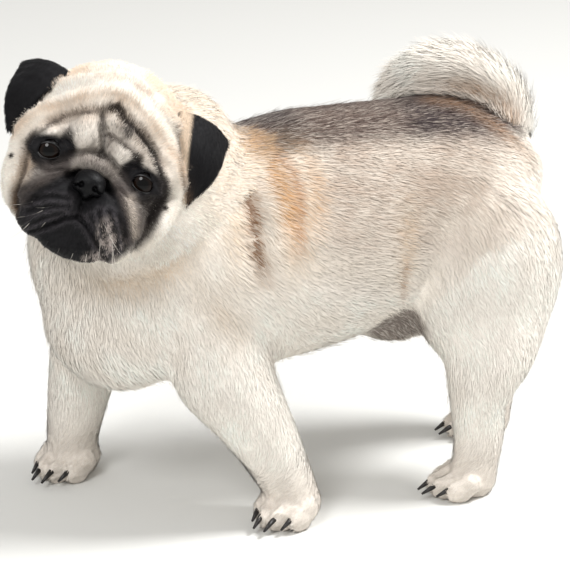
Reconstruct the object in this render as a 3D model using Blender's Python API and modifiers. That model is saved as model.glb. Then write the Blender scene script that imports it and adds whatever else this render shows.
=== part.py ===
"""A standing pug, life size, as a still museum model. Metres, +Z up.

The hind part of the dog points along -Y, its left side is +X, and it stands on Z = 0. The chest and the
head turn to the dog's left. The flesh is laid up from ellipsoids and lofts, fused and smoothed, and then
parted into its named pieces by thin cuts.
"""

import math

import bmesh
import bpy
from mathutils import Euler, Matrix, Vector
from mathutils.bvhtree import BVHTree

# Gap of every cut, and the sides of a round loft
GAP = 0.0003
SIDES = 24

# Grids of the fused surfaces, and rounds of smoothing
BODY_GRID = 0.0035
BODY_SMOOTHING = 9
HEAD_GRID = 0.0018
HEAD_SMOOTHING = 3

# Plan of the stance: where the feet meet the floor
FORE_LEFT_FOOT = Vector((0.062, -0.014, 0))
FORE_RIGHT_FOOT = Vector((-0.074, -0.150, 0))
HIND_LEFT_FOOT = Vector((0.058, 0.128, 0))
HIND_RIGHT_FOOT = Vector((-0.046, 0.182, 0))

# The chest faces this far to the left of the pelvis, and sits here
CHEST_TURN = math.radians(35)
CHEST_CENTRE = Vector((-0.018, -0.108, 0.185))

# The head: midpoint of the eyes, and how the face turns left, looks up and tips over
EYES_MIDDLE = Vector((0.0715, -0.1600, 0.2940))
HEAD_YAW = math.radians(71)
HEAD_PITCH = math.radians(10)
HEAD_ROLL = math.radians(19.5)

# Head sizes
EYE_SPACING = 0.069
EYE_RADIUS = 0.0115
NOSE_WIDTH = 0.0225
NOSE_HEIGHT = 0.0175

# Toes: how far left of the paw's middle and how far back; how far each turns in, in degrees a metre
TOES = ((-0.0158, -0.0125), (-0.0057, -0.0210), (0.0057, -0.0210), (0.0158, -0.0125))
TOE_TURN = -700

PAWS = {
    "fore_paw_left": (FORE_LEFT_FOOT, CHEST_TURN, 1.08),
    "fore_paw_right": (FORE_RIGHT_FOOT, CHEST_TURN, 1.08),
    "hind_paw_left": (HIND_LEFT_FOOT, 0, 1.0),
    "hind_paw_right": (HIND_RIGHT_FOOT, 0, 1.0),
}

# Thin cuts that part the body: centre, the way each cut faces, and its two widths
CUTS = {
    "left foreleg": ((0.056, -0.064, 0.116), (-0.58, 0, 0.81), 0.105, 0.115),
    "right foreleg": ((-0.070, -0.136, 0.106), (0.50, 0, 0.87), 0.095, 0.100),
    "left wrist": ((0.0605, -0.019, 0.034), (-0.105, -0.43, 0.90), 0.070, 0.070),
    "right wrist": ((-0.0735, -0.1505, 0.034), (0.03, 0.10, 1), 0.070, 0.070),
    "left thigh": ((0.050, 0.150, 0.175), (0.74, 0.30, -0.60), 0.170, 0.170),
    "right thigh": ((-0.050, 0.158, 0.175), (-0.74, 0.30, -0.60), 0.170, 0.170),
    "left hock": ((0.058, 0.136, 0.034), (0, 0.05, 1), 0.070, 0.070),
    "right hock": ((-0.046, 0.191, 0.034), (0, 0.05, 1), 0.070, 0.070),
}

# A place inside each piece of the body
PLACES = {
    "torso": (0, 0.010, 0.205),
    "fore_leg_left": (0.057, -0.045, 0.080),
    "fore_leg_right": (-0.071, -0.142, 0.070),
    "fore_paw_left": (0.062, -0.018, 0.015),
    "fore_paw_right": (-0.074, -0.155, 0.015),
    "hind_leg_left": (0.055, 0.140, 0.120),
    "hind_leg_right": (-0.050, 0.165, 0.120),
    "hind_paw_left": (0.058, 0.125, 0.015),
    "hind_paw_right": (-0.046, 0.180, 0.015),
}
TAIL_CUTS = (((-0.004, 0.179, 0.285), (-0.15, -0.35, 0.92)), ((-0.035, 0.121, 0.309), (-0.70, -0.55, -0.45)))
TAIL_PLACES = {
    "tail_root": (0, 0.182, 0.268),
    "tail_bend": (-0.012, 0.150, 0.312),
    "tail_tip": (-0.060, 0.110, 0.280),
}

# Triangles kept in the finished solids
HEAD_TRIANGLES = 3400
NECK_TRIANGLES = 400
BODY_TRIANGLES = 4400
TAIL_TRIANGLES = 500
EAR_TRIANGLES = 700

BLACK = (0.012, 0.012, 0.014, 1)
FAWN = (0.72, 0.56, 0.40, 1)
CREAM = (0.83, 0.77, 0.68, 1)
EYE_BROWN = (0.016, 0.009, 0.006, 1)


def clear_scene():
    for old in list(bpy.data.objects):
        bpy.data.objects.remove(old, do_unlink=True)


def material(name, colour, roughness):
    made = bpy.data.materials.new(name)
    made.use_nodes = True
    shader = made.node_tree.nodes["Principled BSDF"]
    shader.inputs["Base Color"].default_value = colour
    shader.inputs["Roughness"].default_value = roughness
    shader.inputs["Metallic"].default_value = 0
    made.diffuse_color = colour
    return made


def head_matrix():
    """From the head's own axes (left, back, up, from between the eyes) to the dog's."""
    turn = Matrix.Rotation(HEAD_YAW, 4, "Z")
    look = Matrix.Rotation(-HEAD_PITCH, 4, "X")
    tip = Matrix.Rotation(HEAD_ROLL, 4, "Y")
    return Matrix.Translation(EYES_MIDDLE) @ turn @ look @ tip


def chest_matrix():
    """From the chest's own axes (left, back, up, from its centre) to the dog's."""
    return Matrix.Translation(CHEST_CENTRE) @ Matrix.Rotation(CHEST_TURN, 4, "Z")


def ellipsoid(flesh, centre, radii, turn=(0, 0, 0), place=None, segments=32):
    """Adds one lump to the flesh, turned by degrees about X, Y and Z."""
    spin = Euler([math.radians(angle) for angle in turn]).to_matrix().to_4x4()
    shape = Matrix.Translation(Vector(centre)) @ spin @ Matrix.Diagonal((*radii, 1))
    if place is not None:
        shape = place @ shape
    rings = segments * 5 // 8
    bmesh.ops.create_uvsphere(flesh, u_segments=segments, v_segments=rings, radius=1, matrix=shape)


def pair(flesh, centre, radii, turn=(0, 0, 0), place=None):
    """Adds a lump on the left and its mirror image on the right."""
    x, y, z = centre
    ellipsoid(flesh, (x, y, z), radii, turn, place)
    ellipsoid(flesh, (-x, y, z), radii, (turn[0], -turn[1], -turn[2]), place)


def smooth_run(values, steps):
    """A Catmull-Rom run through rows of numbers, with this many steps between rows."""
    rows = [Vector(row) for row in values]
    rows = [2 * rows[0] - rows[1], *rows, 2 * rows[-1] - rows[-2]]
    run = []
    for before, start, end, after in zip(rows, rows[1:], rows[2:], rows[3:]):
        for step in range(steps):
            t = step / steps
            run.append(0.5 * (2 * start + (end - before) * t
                              + (2 * before - 5 * start + 4 * end - after) * t * t
                              + (3 * start - before - 3 * end + after) * t * t * t))
    run.append(rows[-2])
    return run


def loft(flesh, stations, up=(0, 0, 1), steps=4, place=None):
    """Adds a rounded tube. Each station is x, y, z, half width and half height; up is its height's way."""
    run = smooth_run(stations, steps)
    centres = [Vector(row[:3]) for row in run]
    rings = []
    for i, row in enumerate(run):
        along = (centres[min(i + 1, len(run) - 1)] - centres[max(i - 1, 0)]).normalized()
        high = Vector(up) - Vector(up).dot(along) * along
        high.normalize()
        wide = along.cross(high)
        width, height = max(row[3], 0.0004), max(row[4], 0.0004)
        ring = []
        for side in range(SIDES):
            angle = 2 * math.pi * side / SIDES
            point = centres[i] + wide * width * math.cos(angle) + high * height * math.sin(angle)
            ring.append(flesh.verts.new(place @ point if place is not None else point))
        rings.append(ring)
    for ring, following in zip(rings, rings[1:]):
        for side in range(SIDES):
            other = (side + 1) % SIDES
            flesh.faces.new((ring[side], ring[other], following[other], following[side]))
    flesh.faces.new(list(reversed(rings[0])))
    flesh.faces.new(rings[-1])


def rope(flesh, points, radius, steps=5, ends=0.35, place=None):
    """Adds a round roll through the points that thins to a share of its radius at both ends."""
    last = len(points) - 1
    stations = []
    for i, point in enumerate(points):
        share = ends if i in (0, last) else 1
        stations.append((*point, radius * share, radius * share))
    loft(flesh, stations, up=(0.1, 1, 0.2), steps=steps, place=place)


def object_of(name, flesh):
    """Makes an object from a bmesh, with its faces pointing out."""
    bmesh.ops.recalc_face_normals(flesh, faces=flesh.faces)
    mesh = bpy.data.meshes.new(name)
    flesh.to_mesh(mesh)
    flesh.free()
    made = bpy.data.objects.new(name, mesh)
    bpy.context.scene.collection.objects.link(made)
    return made


def applied(obj):
    """Applies an object's modifiers."""
    graph = bpy.context.evaluated_depsgraph_get()
    mesh = bpy.data.meshes.new_from_object(obj.evaluated_get(graph))
    obj.modifiers.clear()
    obj.data = mesh
    return obj


def fuse(obj, grid, rounds):
    """Fuses overlapping lumps into one skin on a fine grid, and smooths it."""
    remesh = obj.modifiers.new("fuse", "REMESH")
    remesh.mode = "VOXEL"
    remesh.voxel_size = grid
    smooth = obj.modifiers.new("smooth", "SMOOTH")
    smooth.factor = 0.5
    smooth.iterations = rounds
    return applied(obj)


def combine(obj, other, operation, keep=False):
    """Adds the other shape to the object, or takes it away."""
    boolean = obj.modifiers.new("combine", "BOOLEAN")
    boolean.operation = operation
    boolean.solver = "MANIFOLD"
    boolean.object = other
    applied(obj)
    if not keep:
        bpy.data.objects.remove(other, do_unlink=True)
    return obj


def cut(obj, cutter, keep=False):
    return combine(obj, cutter, "DIFFERENCE", keep)


def union(obj, other):
    return combine(obj, other, "UNION")


def grown(obj, distance):
    """A copy of an object with its surface moved out, to cut a neighbour clear of it."""
    copy = bpy.data.objects.new(obj.name + "_grown", obj.data.copy())
    bpy.context.scene.collection.objects.link(copy)
    swell = copy.modifiers.new("swell", "DISPLACE")
    swell.strength = distance
    swell.mid_level = 0
    return applied(copy)


def islands(obj):
    """The separate closed surfaces of an object, each as a list of face indices."""
    mesh = bmesh.new()
    mesh.from_mesh(obj.data)
    mesh.faces.ensure_lookup_table()
    seen = set()
    found = []
    for face in mesh.faces:
        if face.index in seen:
            continue
        seen.add(face.index)
        stack, island = [face], []
        while stack:
            here = stack.pop()
            island.append(here.index)
            for edge in here.edges:
                for beside in edge.link_faces:
                    if beside.index not in seen:
                        seen.add(beside.index)
                        stack.append(beside)
        found.append(island)
    mesh.free()
    return found


def keep_faces(obj, keep, name):
    """A new object with only these faces of another one."""
    mesh = bmesh.new()
    mesh.from_mesh(obj.data)
    mesh.faces.ensure_lookup_table()
    kept = set(keep)
    bmesh.ops.delete(mesh, geom=[f for f in mesh.faces if f.index not in kept], context="FACES")
    return object_of(name, mesh)


def largest_only(obj):
    """Drops every loose scrap, and any hollow that fusing sealed."""
    pieces = islands(obj)
    if len(pieces) == 1:
        return obj
    name = obj.name
    obj.name = name + "_scraps"
    made = keep_faces(obj, max(pieces, key=len), name)
    bpy.data.objects.remove(obj, do_unlink=True)
    return made


def thin_out(obj, triangles):
    """Reduces a mesh to about this many triangles."""
    now = sum(len(face.vertices) - 2 for face in obj.data.polygons)
    if now > triangles:
        reduce = obj.modifiers.new("reduce", "DECIMATE")
        reduce.ratio = triangles / now
        reduce.use_collapse_triangulate = True
        applied(obj)
    return obj


def finish(obj, paint):
    obj.data.materials.clear()
    obj.data.materials.append(paint)
    obj.data.shade_smooth()
    obj.data.set_sharp_from_angle(angle=math.radians(50))
    return obj


def depth_finder(base):
    """A function that gives the depth of the face's skin at a place left of the middle and up."""
    tree = BVHTree.FromObject(base, bpy.context.evaluated_depsgraph_get())

    def depth(x, z):
        hit = tree.ray_cast(Vector((x, -0.2, z)), Vector((0, 1, 0)))[0]
        return hit.y if hit else 0.04

    return depth


def skull(flesh):
    """The head without its folds: braincase, temples, cheeks, face and muzzle."""
    ellipsoid(flesh, (0, 0.050, 0.014), (0.058, 0.058, 0.056))
    pair(flesh, (0.036, 0.038, 0.008), (0.027, 0.036, 0.036))
    pair(flesh, (0.034, 0.040, -0.026), (0.031, 0.040, 0.035))
    ellipsoid(flesh, (0, 0.044, -0.036), (0.048, 0.046, 0.030))
    ellipsoid(flesh, (0, 0.022, -0.002), (0.054, 0.027, 0.046))
    ellipsoid(flesh, (0, 0.008, -0.036), (0.044, 0.031, 0.030))
    pair(flesh, (EYE_SPACING / 2, 0.005, 0), (0.0185, 0.016, 0.0165))


def lips(flesh):
    """The pads of the upper lip, the drooping corners and the chin below them."""
    pair(flesh, (0.0190, -0.0050, -0.0275), (0.0220, 0.0230, 0.0165), turn=(0, 22, 0))
    pair(flesh, (0.0305, 0.0030, -0.0445), (0.0140, 0.0225, 0.0180), turn=(0, 20, 0))
    ellipsoid(flesh, (0, 0.000, -0.0545), (0.0270, 0.0210, 0.0135))


def folds(flesh, depth):
    """The rolls of skin on the face, laid on the skull at places left of the middle and up."""
    rolls = {
        "over the nose": (0.0078, 0.0010, [(0.041, -0.034), (0.0365, -0.024), (0.0275, -0.0120),
                                           (0.0140, -0.0015), (0, 0.0030)]),
        "brow, over each eye": (0.0058, 0.0015, [(0.0465, 0.000), (0.0430, 0.0085), (0.0335, 0.0145),
                                                 (0.0240, 0.0175), (0.0130, 0.0270), (0.0020, 0.0330)]),
        "round the face": (0.0075, 0.0030, [(0.0510, -0.041), (0.0530, -0.030), (0.0555, -0.018),
                                            (0.0575, -0.006), (0.0565, 0.006), (0.0475, 0.019),
                                            (0.0365, 0.030), (0.0240, 0.039), (0.0110, 0.0460), (0, 0.0505)]),
        "second round the face": (0.0068, 0.0030, [(0.0580, 0.024), (0.0440, 0.038), (0.0300, 0.0475),
                                                   (0.0150, 0.0550), (0, 0.0600)]),
    }
    for radius, sunk, half in rolls.values():
        right = [(-x, z) for x, z in half]
        path = right + half[-2::-1]
        points = [(x, depth(x, z) + sunk, z) for x, z in path]
        rope(flesh, points, radius)
    pair(flesh, (0.0150, depth(0.015, 0.020) + 0.0010, 0.0190), (0.0120, 0.0095, 0.0165), turn=(0, -24, 0))


def mouth_cutter(depth):
    """The line of the mouth under the lip pads, and the groove from the nose down to it."""
    groove = bmesh.new()
    half = [(0.0300, -0.0600), (0.0265, -0.0570), (0.0205, -0.0515), (0.0145, -0.0450), (0.0080, -0.0380),
            (0.0020, -0.0350)]
    left = [(x, depth(x, z) + 0.0005, z) for x, z in half]
    right = [(-x, y, z) for x, y, z in left]
    rope(groove, right + left[::-1], 0.0016)
    rope(groove, [(0, depth(0, z) + 0.0006, z) for z in (-0.0180, -0.0240, -0.0300, -0.0350)], 0.0014)
    return thin_out(fuse(object_of("mouth_line", groove), 0.0006, 1), 520)


def lid_cutter(side):
    """The opening between the lids, which shows the front of the eye."""
    opening = bmesh.new()
    ellipsoid(opening, (side * EYE_SPACING / 2, -0.0120, 0), (0.0082, 0.0130, 0.0063),
              turn=(0, side * 6, 0), segments=16)
    return object_of("lid_opening", opening)


def eye(side, name):
    ball = bmesh.new()
    ellipsoid(ball, (side * EYE_SPACING / 2, 0.0002, 0), (EYE_RADIUS,) * 3, turn=(90, 0, 0), segments=18)
    return object_of(name, ball)


def nose():
    """The nose leather, with its two nostrils and the slit between them."""
    leather = bmesh.new()
    ellipsoid(leather, (0, -0.0190, -0.0095), (NOSE_WIDTH / 2, 0.0105, NOSE_HEIGHT / 2))
    pair(leather, (0.0062, -0.0215, -0.0120), (0.0054, 0.0078, 0.0054))
    ellipsoid(leather, (0, -0.0190, -0.0165), (0.0045, 0.0085, 0.0050))
    made = fuse(object_of("nose", leather), 0.0009, 4)
    holes = bmesh.new()
    pair(holes, (0.0048, -0.0300, -0.0115), (0.0021, 0.0060, 0.0026))
    pair(holes, (0.0088, -0.0270, -0.0133), (0.0034, 0.0050, 0.0011), turn=(0, 25, 0))
    bore = thin_out(fuse(object_of("nostrils", holes), 0.0004, 1), 200)
    return cut(thin_out(made, 450), bore)


def ear(side, name, lift):
    """A button ear: its leather rises from the skull, folds over forwards and hangs to the eye's level."""
    base_front, base_back = Vector((0.036, 0.036, 0.036)), Vector((0.052, 0.068, 0.018))
    ridge_front, ridge_back = Vector((0.039, 0.026, 0.0500)), Vector((0.0775 - lift, 0.0480, 0.0390 + lift))
    tip = Vector((0.0665, 0.0220, -0.0045 + lift))
    hinge = 0.42
    thickness = 0.0034
    columns, base_rows, flap_rows = 8, 4, 9
    middle = ridge_front.lerp(ridge_back, hinge)
    flap = bmesh.new()
    grid = []
    for row in range(base_rows + flap_rows + 1):
        line = []
        for column in range(columns + 1):
            s = column / columns
            ridge = ridge_front.lerp(ridge_back, s)
            arch = Vector((0.002, -0.003, 0.005)) * math.sin(math.pi * s)
            if row <= base_rows:
                t = row / base_rows
                back = Vector((0.003, 0.008, 0.003)) * math.sin(math.pi * t * 0.5)
                point = base_front.lerp(base_back, s).lerp(ridge, t) + back + arch * t
            else:
                t = (row - base_rows) / flap_rows
                narrow = max(1 - t, 0.03) ** 0.62
                bow = Vector((0.004, -0.0090, 0.003)) * math.sin(math.pi * min(t * 1.1, 1))
                point = middle.lerp(tip, t) + (ridge - middle) * narrow + bow + arch * (1 - t)
            line.append(flap.verts.new((side * point.x, point.y, point.z)))
        grid.append(line)
    for line, following in zip(grid, grid[1:]):
        for column in range(columns):
            flap.faces.new((line[column], line[column + 1], following[column + 1], following[column]))
    bmesh.ops.recalc_face_normals(flap, faces=flap.faces)
    made = object_of(name, flap)
    wall = made.modifiers.new("wall", "SOLIDIFY")
    wall.thickness = thickness
    wall.offset = 0
    soften = made.modifiers.new("soften", "SUBSURF")
    soften.levels = soften.render_levels = 1
    return thin_out(applied(made), EAR_TRIANGLES)


def torso(flesh):
    """The trunk from the rump to the chest, which turns to the left at the front."""
    loft(flesh, [
        (0.000, 0.196, 0.205, 0.012, 0.014),
        (0.000, 0.187, 0.209, 0.037, 0.041),
        (0.000, 0.165, 0.218, 0.056, 0.062),
        (0.000, 0.130, 0.223, 0.066, 0.078),
        (0.000, 0.090, 0.220, 0.070, 0.083),
        (0.000, 0.050, 0.212, 0.077, 0.091),
        (-0.001, 0.010, 0.205, 0.083, 0.095),
        (-0.004, -0.035, 0.196, 0.086, 0.093),
        (-0.010, -0.075, 0.193, 0.086, 0.092),
        (-0.012, -0.115, 0.188, 0.072, 0.080),
        (-0.012, -0.140, 0.184, 0.040, 0.045),
    ])
    chest = chest_matrix()
    ellipsoid(flesh, (0.0, -0.015, 0.012), (0.086, 0.060, 0.088), place=chest)
    ellipsoid(flesh, (0.0, -0.030, -0.035), (0.064, 0.045, 0.055), place=chest)
    ellipsoid(flesh, (0.010, 0.076, 0.126), (0.019, 0.033, 0.0150), turn=(-12, 0, 0))
    ellipsoid(flesh, (0.009, 0.092, 0.138), (0.024, 0.026, 0.0180))


def neck(flesh):
    """The thick neck with its loose scruff, from the chest up to the back of the head."""
    loft(flesh, [
        (-0.016, -0.080, 0.200, 0.078, 0.080),
        (-0.006, -0.096, 0.222, 0.077, 0.079),
        (0.002, -0.110, 0.246, 0.075, 0.077),
        (0.012, -0.124, 0.268, 0.070, 0.072),
        (0.024, -0.138, 0.288, 0.060, 0.060),
    ], up=(0.6, -0.5, 0.6))
    ellipsoid(flesh, (-0.002, -0.088, 0.280), (0.052, 0.050, 0.047))


def paw_matrix(foot, forward, size):
    """From a paw's own axes (left, back, up, from its middle on the floor) to the dog's."""
    return Matrix.Translation(foot) @ Matrix.Rotation(forward, 4, "Z") @ Matrix.Scale(size, 4)


def toe_matrix(place, across, ahead):
    """From a toe's own axes to the dog's."""
    turn = math.radians(TOE_TURN * across)
    return place @ Matrix.Translation((across, ahead, 0.0092)) @ Matrix.Rotation(turn, 4, "Z")


def toes():
    """Four arched toes on every paw: a tip that meets the floor, and the knuckle above it."""
    flesh = bmesh.new()
    for foot, forward, size in PAWS.values():
        for across, ahead in TOES:
            place = toe_matrix(paw_matrix(foot, forward, size), across, ahead)
            ellipsoid(flesh, (0, 0, 0), (0.0066, 0.0125, 0.0096), place=place, segments=20)
            ellipsoid(flesh, (0, 0.0075, 0.0040), (0.0062, 0.0100, 0.0092), place=place, segments=20)
    return object_of("toes", flesh)


def forelegs(flesh):
    """Shoulder, upper arm and forearm of each front leg."""
    pair(flesh, (0.064, 0.010, -0.012), (0.034, 0.046, 0.058), turn=(-12, 6, 0), place=chest_matrix())
    loft(flesh, [
        (0.040, -0.074, 0.165, 0.036, 0.042),
        (0.050, -0.063, 0.120, 0.034, 0.041),
        (0.054, -0.048, 0.092, 0.030, 0.033),
        (0.057, -0.034, 0.066, 0.0265, 0.028),
        (0.059, -0.024, 0.045, 0.0235, 0.0245),
        (0.061, -0.016, 0.026, 0.0210, 0.0215),
        (0.062, -0.012, 0.012, 0.0200, 0.0205),
    ], up=(0, 1, 0.2))
    loft(flesh, [
        (-0.066, -0.124, 0.155, 0.034, 0.038),
        (-0.070, -0.136, 0.108, 0.030, 0.032),
        (-0.071, -0.142, 0.078, 0.0265, 0.028),
        (-0.072, -0.147, 0.050, 0.0235, 0.0245),
        (-0.073, -0.150, 0.028, 0.0205, 0.0215),
        (-0.074, -0.151, 0.012, 0.0200, 0.0205),
    ], up=(0, 1, 0.2))


def hind_legs(flesh):
    """Thigh, shank and hock of each hind leg; the right foot stands further back."""
    pair(flesh, (0.044, 0.146, 0.170), (0.040, 0.062, 0.080), turn=(-4, 6, 0))
    profile = [
        (0.042, 0.150, 0.170, 0.036, 0.056),
        (0.050, 0.147, 0.133, 0.033, 0.047),
        (0.056, 0.142, 0.106, 0.029, 0.039),
        (0.058, 0.137, 0.088, 0.0255, 0.0300),
        (0.058, 0.135, 0.072, 0.0225, 0.0245),
        (0.058, 0.137, 0.052, 0.0200, 0.0225),
        (0.058, 0.135, 0.030, 0.0185, 0.0200),
        (0.058, 0.131, 0.013, 0.0180, 0.0185),
    ]
    loft(flesh, profile, up=(0, 1, 0.1))
    stride = HIND_RIGHT_FOOT - HIND_LEFT_FOOT
    right = []
    for x, y, z, width, depth in profile:
        low = min(1, (0.170 - z) / 0.100)
        right.append((-x + 0.012 * low, y + 0.006 + (stride.y - 0.006) * low, z, width, depth))
    loft(flesh, right, up=(0, 1, 0.1))


def tail(flesh):
    """The tail rises at the croup and curls forwards over the back to the right hip."""
    loft(flesh, [
        (0.002, 0.158, 0.222, 0.016, 0.016),
        (0.002, 0.173, 0.246, 0.0205, 0.0205),
        (-0.001, 0.179, 0.271, 0.0210, 0.0210),
        (-0.006, 0.174, 0.294, 0.0220, 0.0220),
        (-0.012, 0.153, 0.312, 0.0225, 0.0225),
        (-0.026, 0.130, 0.314, 0.0225, 0.0225),
        (-0.043, 0.114, 0.301, 0.0210, 0.0210),
        (-0.060, 0.109, 0.283, 0.0185, 0.0185),
        (-0.073, 0.114, 0.266, 0.0145, 0.0145),
        (-0.080, 0.122, 0.256, 0.0050, 0.0050),
    ], up=(1, 0, 0))


def claws(foot, forward, size):
    """The four dark claws of a paw, in one mesh."""
    made = bmesh.new()
    for across, ahead in TOES:
        place = toe_matrix(paw_matrix(foot, forward, size), across, ahead)
        tilt = Matrix.Translation((0, -0.0128, -0.0010)) @ Matrix.Rotation(math.radians(120), 4, "X")
        bmesh.ops.create_cone(made, cap_ends=True, segments=8, radius1=0.0026, radius2=0.0008, depth=0.0125,
                              matrix=place @ tilt)
    return object_of("claws", made)


def slab(centre, normal, width, depth=None):
    """A plate as thin as the gap between two pieces, across the normal at the centre."""
    aim = Vector(normal).to_track_quat("Z", "Y").to_matrix().to_4x4()
    size = Matrix.Diagonal((width, depth or width, GAP, 1))
    plate = bmesh.new()
    bmesh.ops.create_cube(plate, size=1, matrix=Matrix.Translation(Vector(centre)) @ aim @ size)
    return object_of("slab", plate)


def part_out(obj, names):
    """Parts an object into its closed pieces, and names each after the nearest of the named places."""
    pieces = sorted(islands(obj), key=len, reverse=True)
    middles = []
    for piece in pieces:
        total = Vector()
        for face in piece:
            total += obj.data.polygons[face].center
        middles.append(total / len(piece))
    made = []
    for name, place in names.items():
        near = min(range(len(names)), key=lambda i: (middles[i] - Vector(place)).length)
        made.append(keep_faces(obj, pieces[near], name))
    bpy.data.objects.remove(obj, do_unlink=True)
    return made


def joined(first, second):
    """One object holding the faces of both."""
    both = bmesh.new()
    both.from_mesh(first.data)
    both.from_mesh(second.data)
    for old in (first, second):
        bpy.data.objects.remove(old, do_unlink=True)
    return object_of("dog", both)


def head_cut():
    """The cut behind the jaw and the nape."""
    place = head_matrix()
    return slab(place @ Vector((0, 0.060, -0.019)), place.to_3x3() @ Vector((0, 0.737, -0.676)), 0.26)


def neck_cut():
    """The cut round the base of the neck."""
    return slab((0.020, -0.1025, 0.2425), (0.335, -0.482, 0.809), 0.27)


def halves(obj, make_slab, names, triangles):
    """Parts an object in two at a slab, reduces both parts, and trims them at the slab again."""
    parts = part_out(cut(obj, make_slab()), names)
    for piece, count in zip(parts, triangles):
        thin_out(piece, count)
        cut(piece, make_slab())
    return [largest_only(piece) for piece in parts]


def head_pieces():
    """The head's form, its openings, and the eyes, nose and ears that fill them."""
    base = bmesh.new()
    skull(base)
    lips(base)
    guide = fuse(object_of("head_guide", base.copy()), 0.003, 3)
    folds(base, depth_finder(guide))
    bpy.data.objects.remove(guide, do_unlink=True)
    form = fuse(object_of("form", base), HEAD_GRID, HEAD_SMOOTHING)
    openings = [mouth_cutter(depth_finder(form)), lid_cutter(1), lid_cutter(-1)]
    fillings = [eye(1, "eye_left"), eye(-1, "eye_right"), nose()]
    ears = [ear(1, "ear_left", -0.0025), ear(-1, "ear_right", 0.0025)]
    for piece in (form, *openings, *fillings, *ears):
        piece.data.transform(head_matrix())
    return form, openings, fillings, ears


def body_form():
    flesh = bmesh.new()
    torso(flesh)
    neck(flesh)
    forelegs(flesh)
    hind_legs(flesh)
    for foot, forward, size in PAWS.values():
        ellipsoid(flesh, (0, 0.004, 0.011), (0.0185, 0.0205, 0.0150), place=paw_matrix(foot, forward, size))
    return fuse(object_of("body", flesh), BODY_GRID, BODY_SMOOTHING)


def build():
    clear_scene()
    fawn = material("fawn_coat", FAWN, 0.8)
    cream = material("cream_coat", CREAM, 0.8)
    black = material("black_velvet", BLACK, 0.75)
    leather = material("nose_leather", BLACK, 0.35)
    glossy = material("eye_surface", EYE_BROWN, 0.05)

    form, openings, fillings, ears = head_pieces()
    dog = fuse(joined(joined(form, body_form()), toes()), HEAD_GRID, 1)
    front, body = halves(dog, neck_cut, {"front": EYES_MIDDLE, "body": (0, 0, 0.15)}, (60000, BODY_TRIANGLES))
    head, nape = halves(front, head_cut, {"head": EYES_MIDDLE, "neck": (0.010, -0.11, 0.26)},
                        (HEAD_TRIANGLES, NECK_TRIANGLES))
    for opening in openings:
        cut(head, opening)
    for filling in fillings:
        cut(head, grown(filling, GAP))
    head = largest_only(head)

    floor = bmesh.new()
    bmesh.ops.create_cube(floor, size=1, matrix=Matrix.Translation((0, 0, -0.05)) @ Matrix.Scale(0.1, 4)
                          @ Matrix.Diagonal((8, 8, 1, 1)))
    cut(body, object_of("floor", floor))
    for centre, normal, width, depth in CUTS.values():
        cut(body, slab(centre, normal, width, depth))
    pieces = [nape, *part_out(body, PLACES)]
    for piece in pieces:
        if piece.name in PAWS:
            union(piece, claws(*PAWS[piece.name]))

    for piece in ears:
        cut(piece, grown(head, GAP))
        for other in pieces:
            if other.name == "neck":
                cut(piece, grown(other, GAP))
    ears = [largest_only(piece) for piece in ears]
    curl = bmesh.new()
    tail(curl)
    curl = thin_out(fuse(object_of("curl", curl), 0.0025, 3), TAIL_TRIANGLES)
    for other in pieces:
        if other.name in ("torso", "hind_leg_left", "hind_leg_right"):
            cut(curl, grown(other, GAP))
    curl = largest_only(curl)
    for centre, normal in TAIL_CUTS:
        cut(curl, slab(centre, normal, 0.08))
    tail_pieces = part_out(curl, TAIL_PLACES)

    thin_out(fillings[2], 500)
    nodes = [head, *fillings, *ears, *pieces, *tail_pieces]
    for piece in nodes:
        finish(piece, cream)
    finish(head, fawn)
    for piece in fillings[:2]:
        finish(piece, glossy)
    finish(fillings[2], leather)
    for piece in ears:
        finish(piece, black)

    corners = [vertex.co for piece in nodes for vertex in piece.data.vertices]
    middle_x = (min(c.x for c in corners) + max(c.x for c in corners)) / 2
    middle_y = (min(c.y for c in corners) + max(c.y for c in corners)) / 2
    pug = bpy.data.collections.new("pug")
    bpy.context.scene.collection.children.link(pug)
    for piece in nodes:
        piece.data.transform(Matrix.Translation((-middle_x, -middle_y, 0)))
        bpy.context.scene.collection.objects.unlink(piece)
        pug.objects.link(piece)


build()
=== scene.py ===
"""A standing pug, life size, as a still museum model: its skin, coat, eyes, nose, claws and whiskers."""
import math

import bmesh
import bpy
import numpy as np
from mathutils import Matrix, Vector
from mathutils.bvhtree import BVHTree


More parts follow.
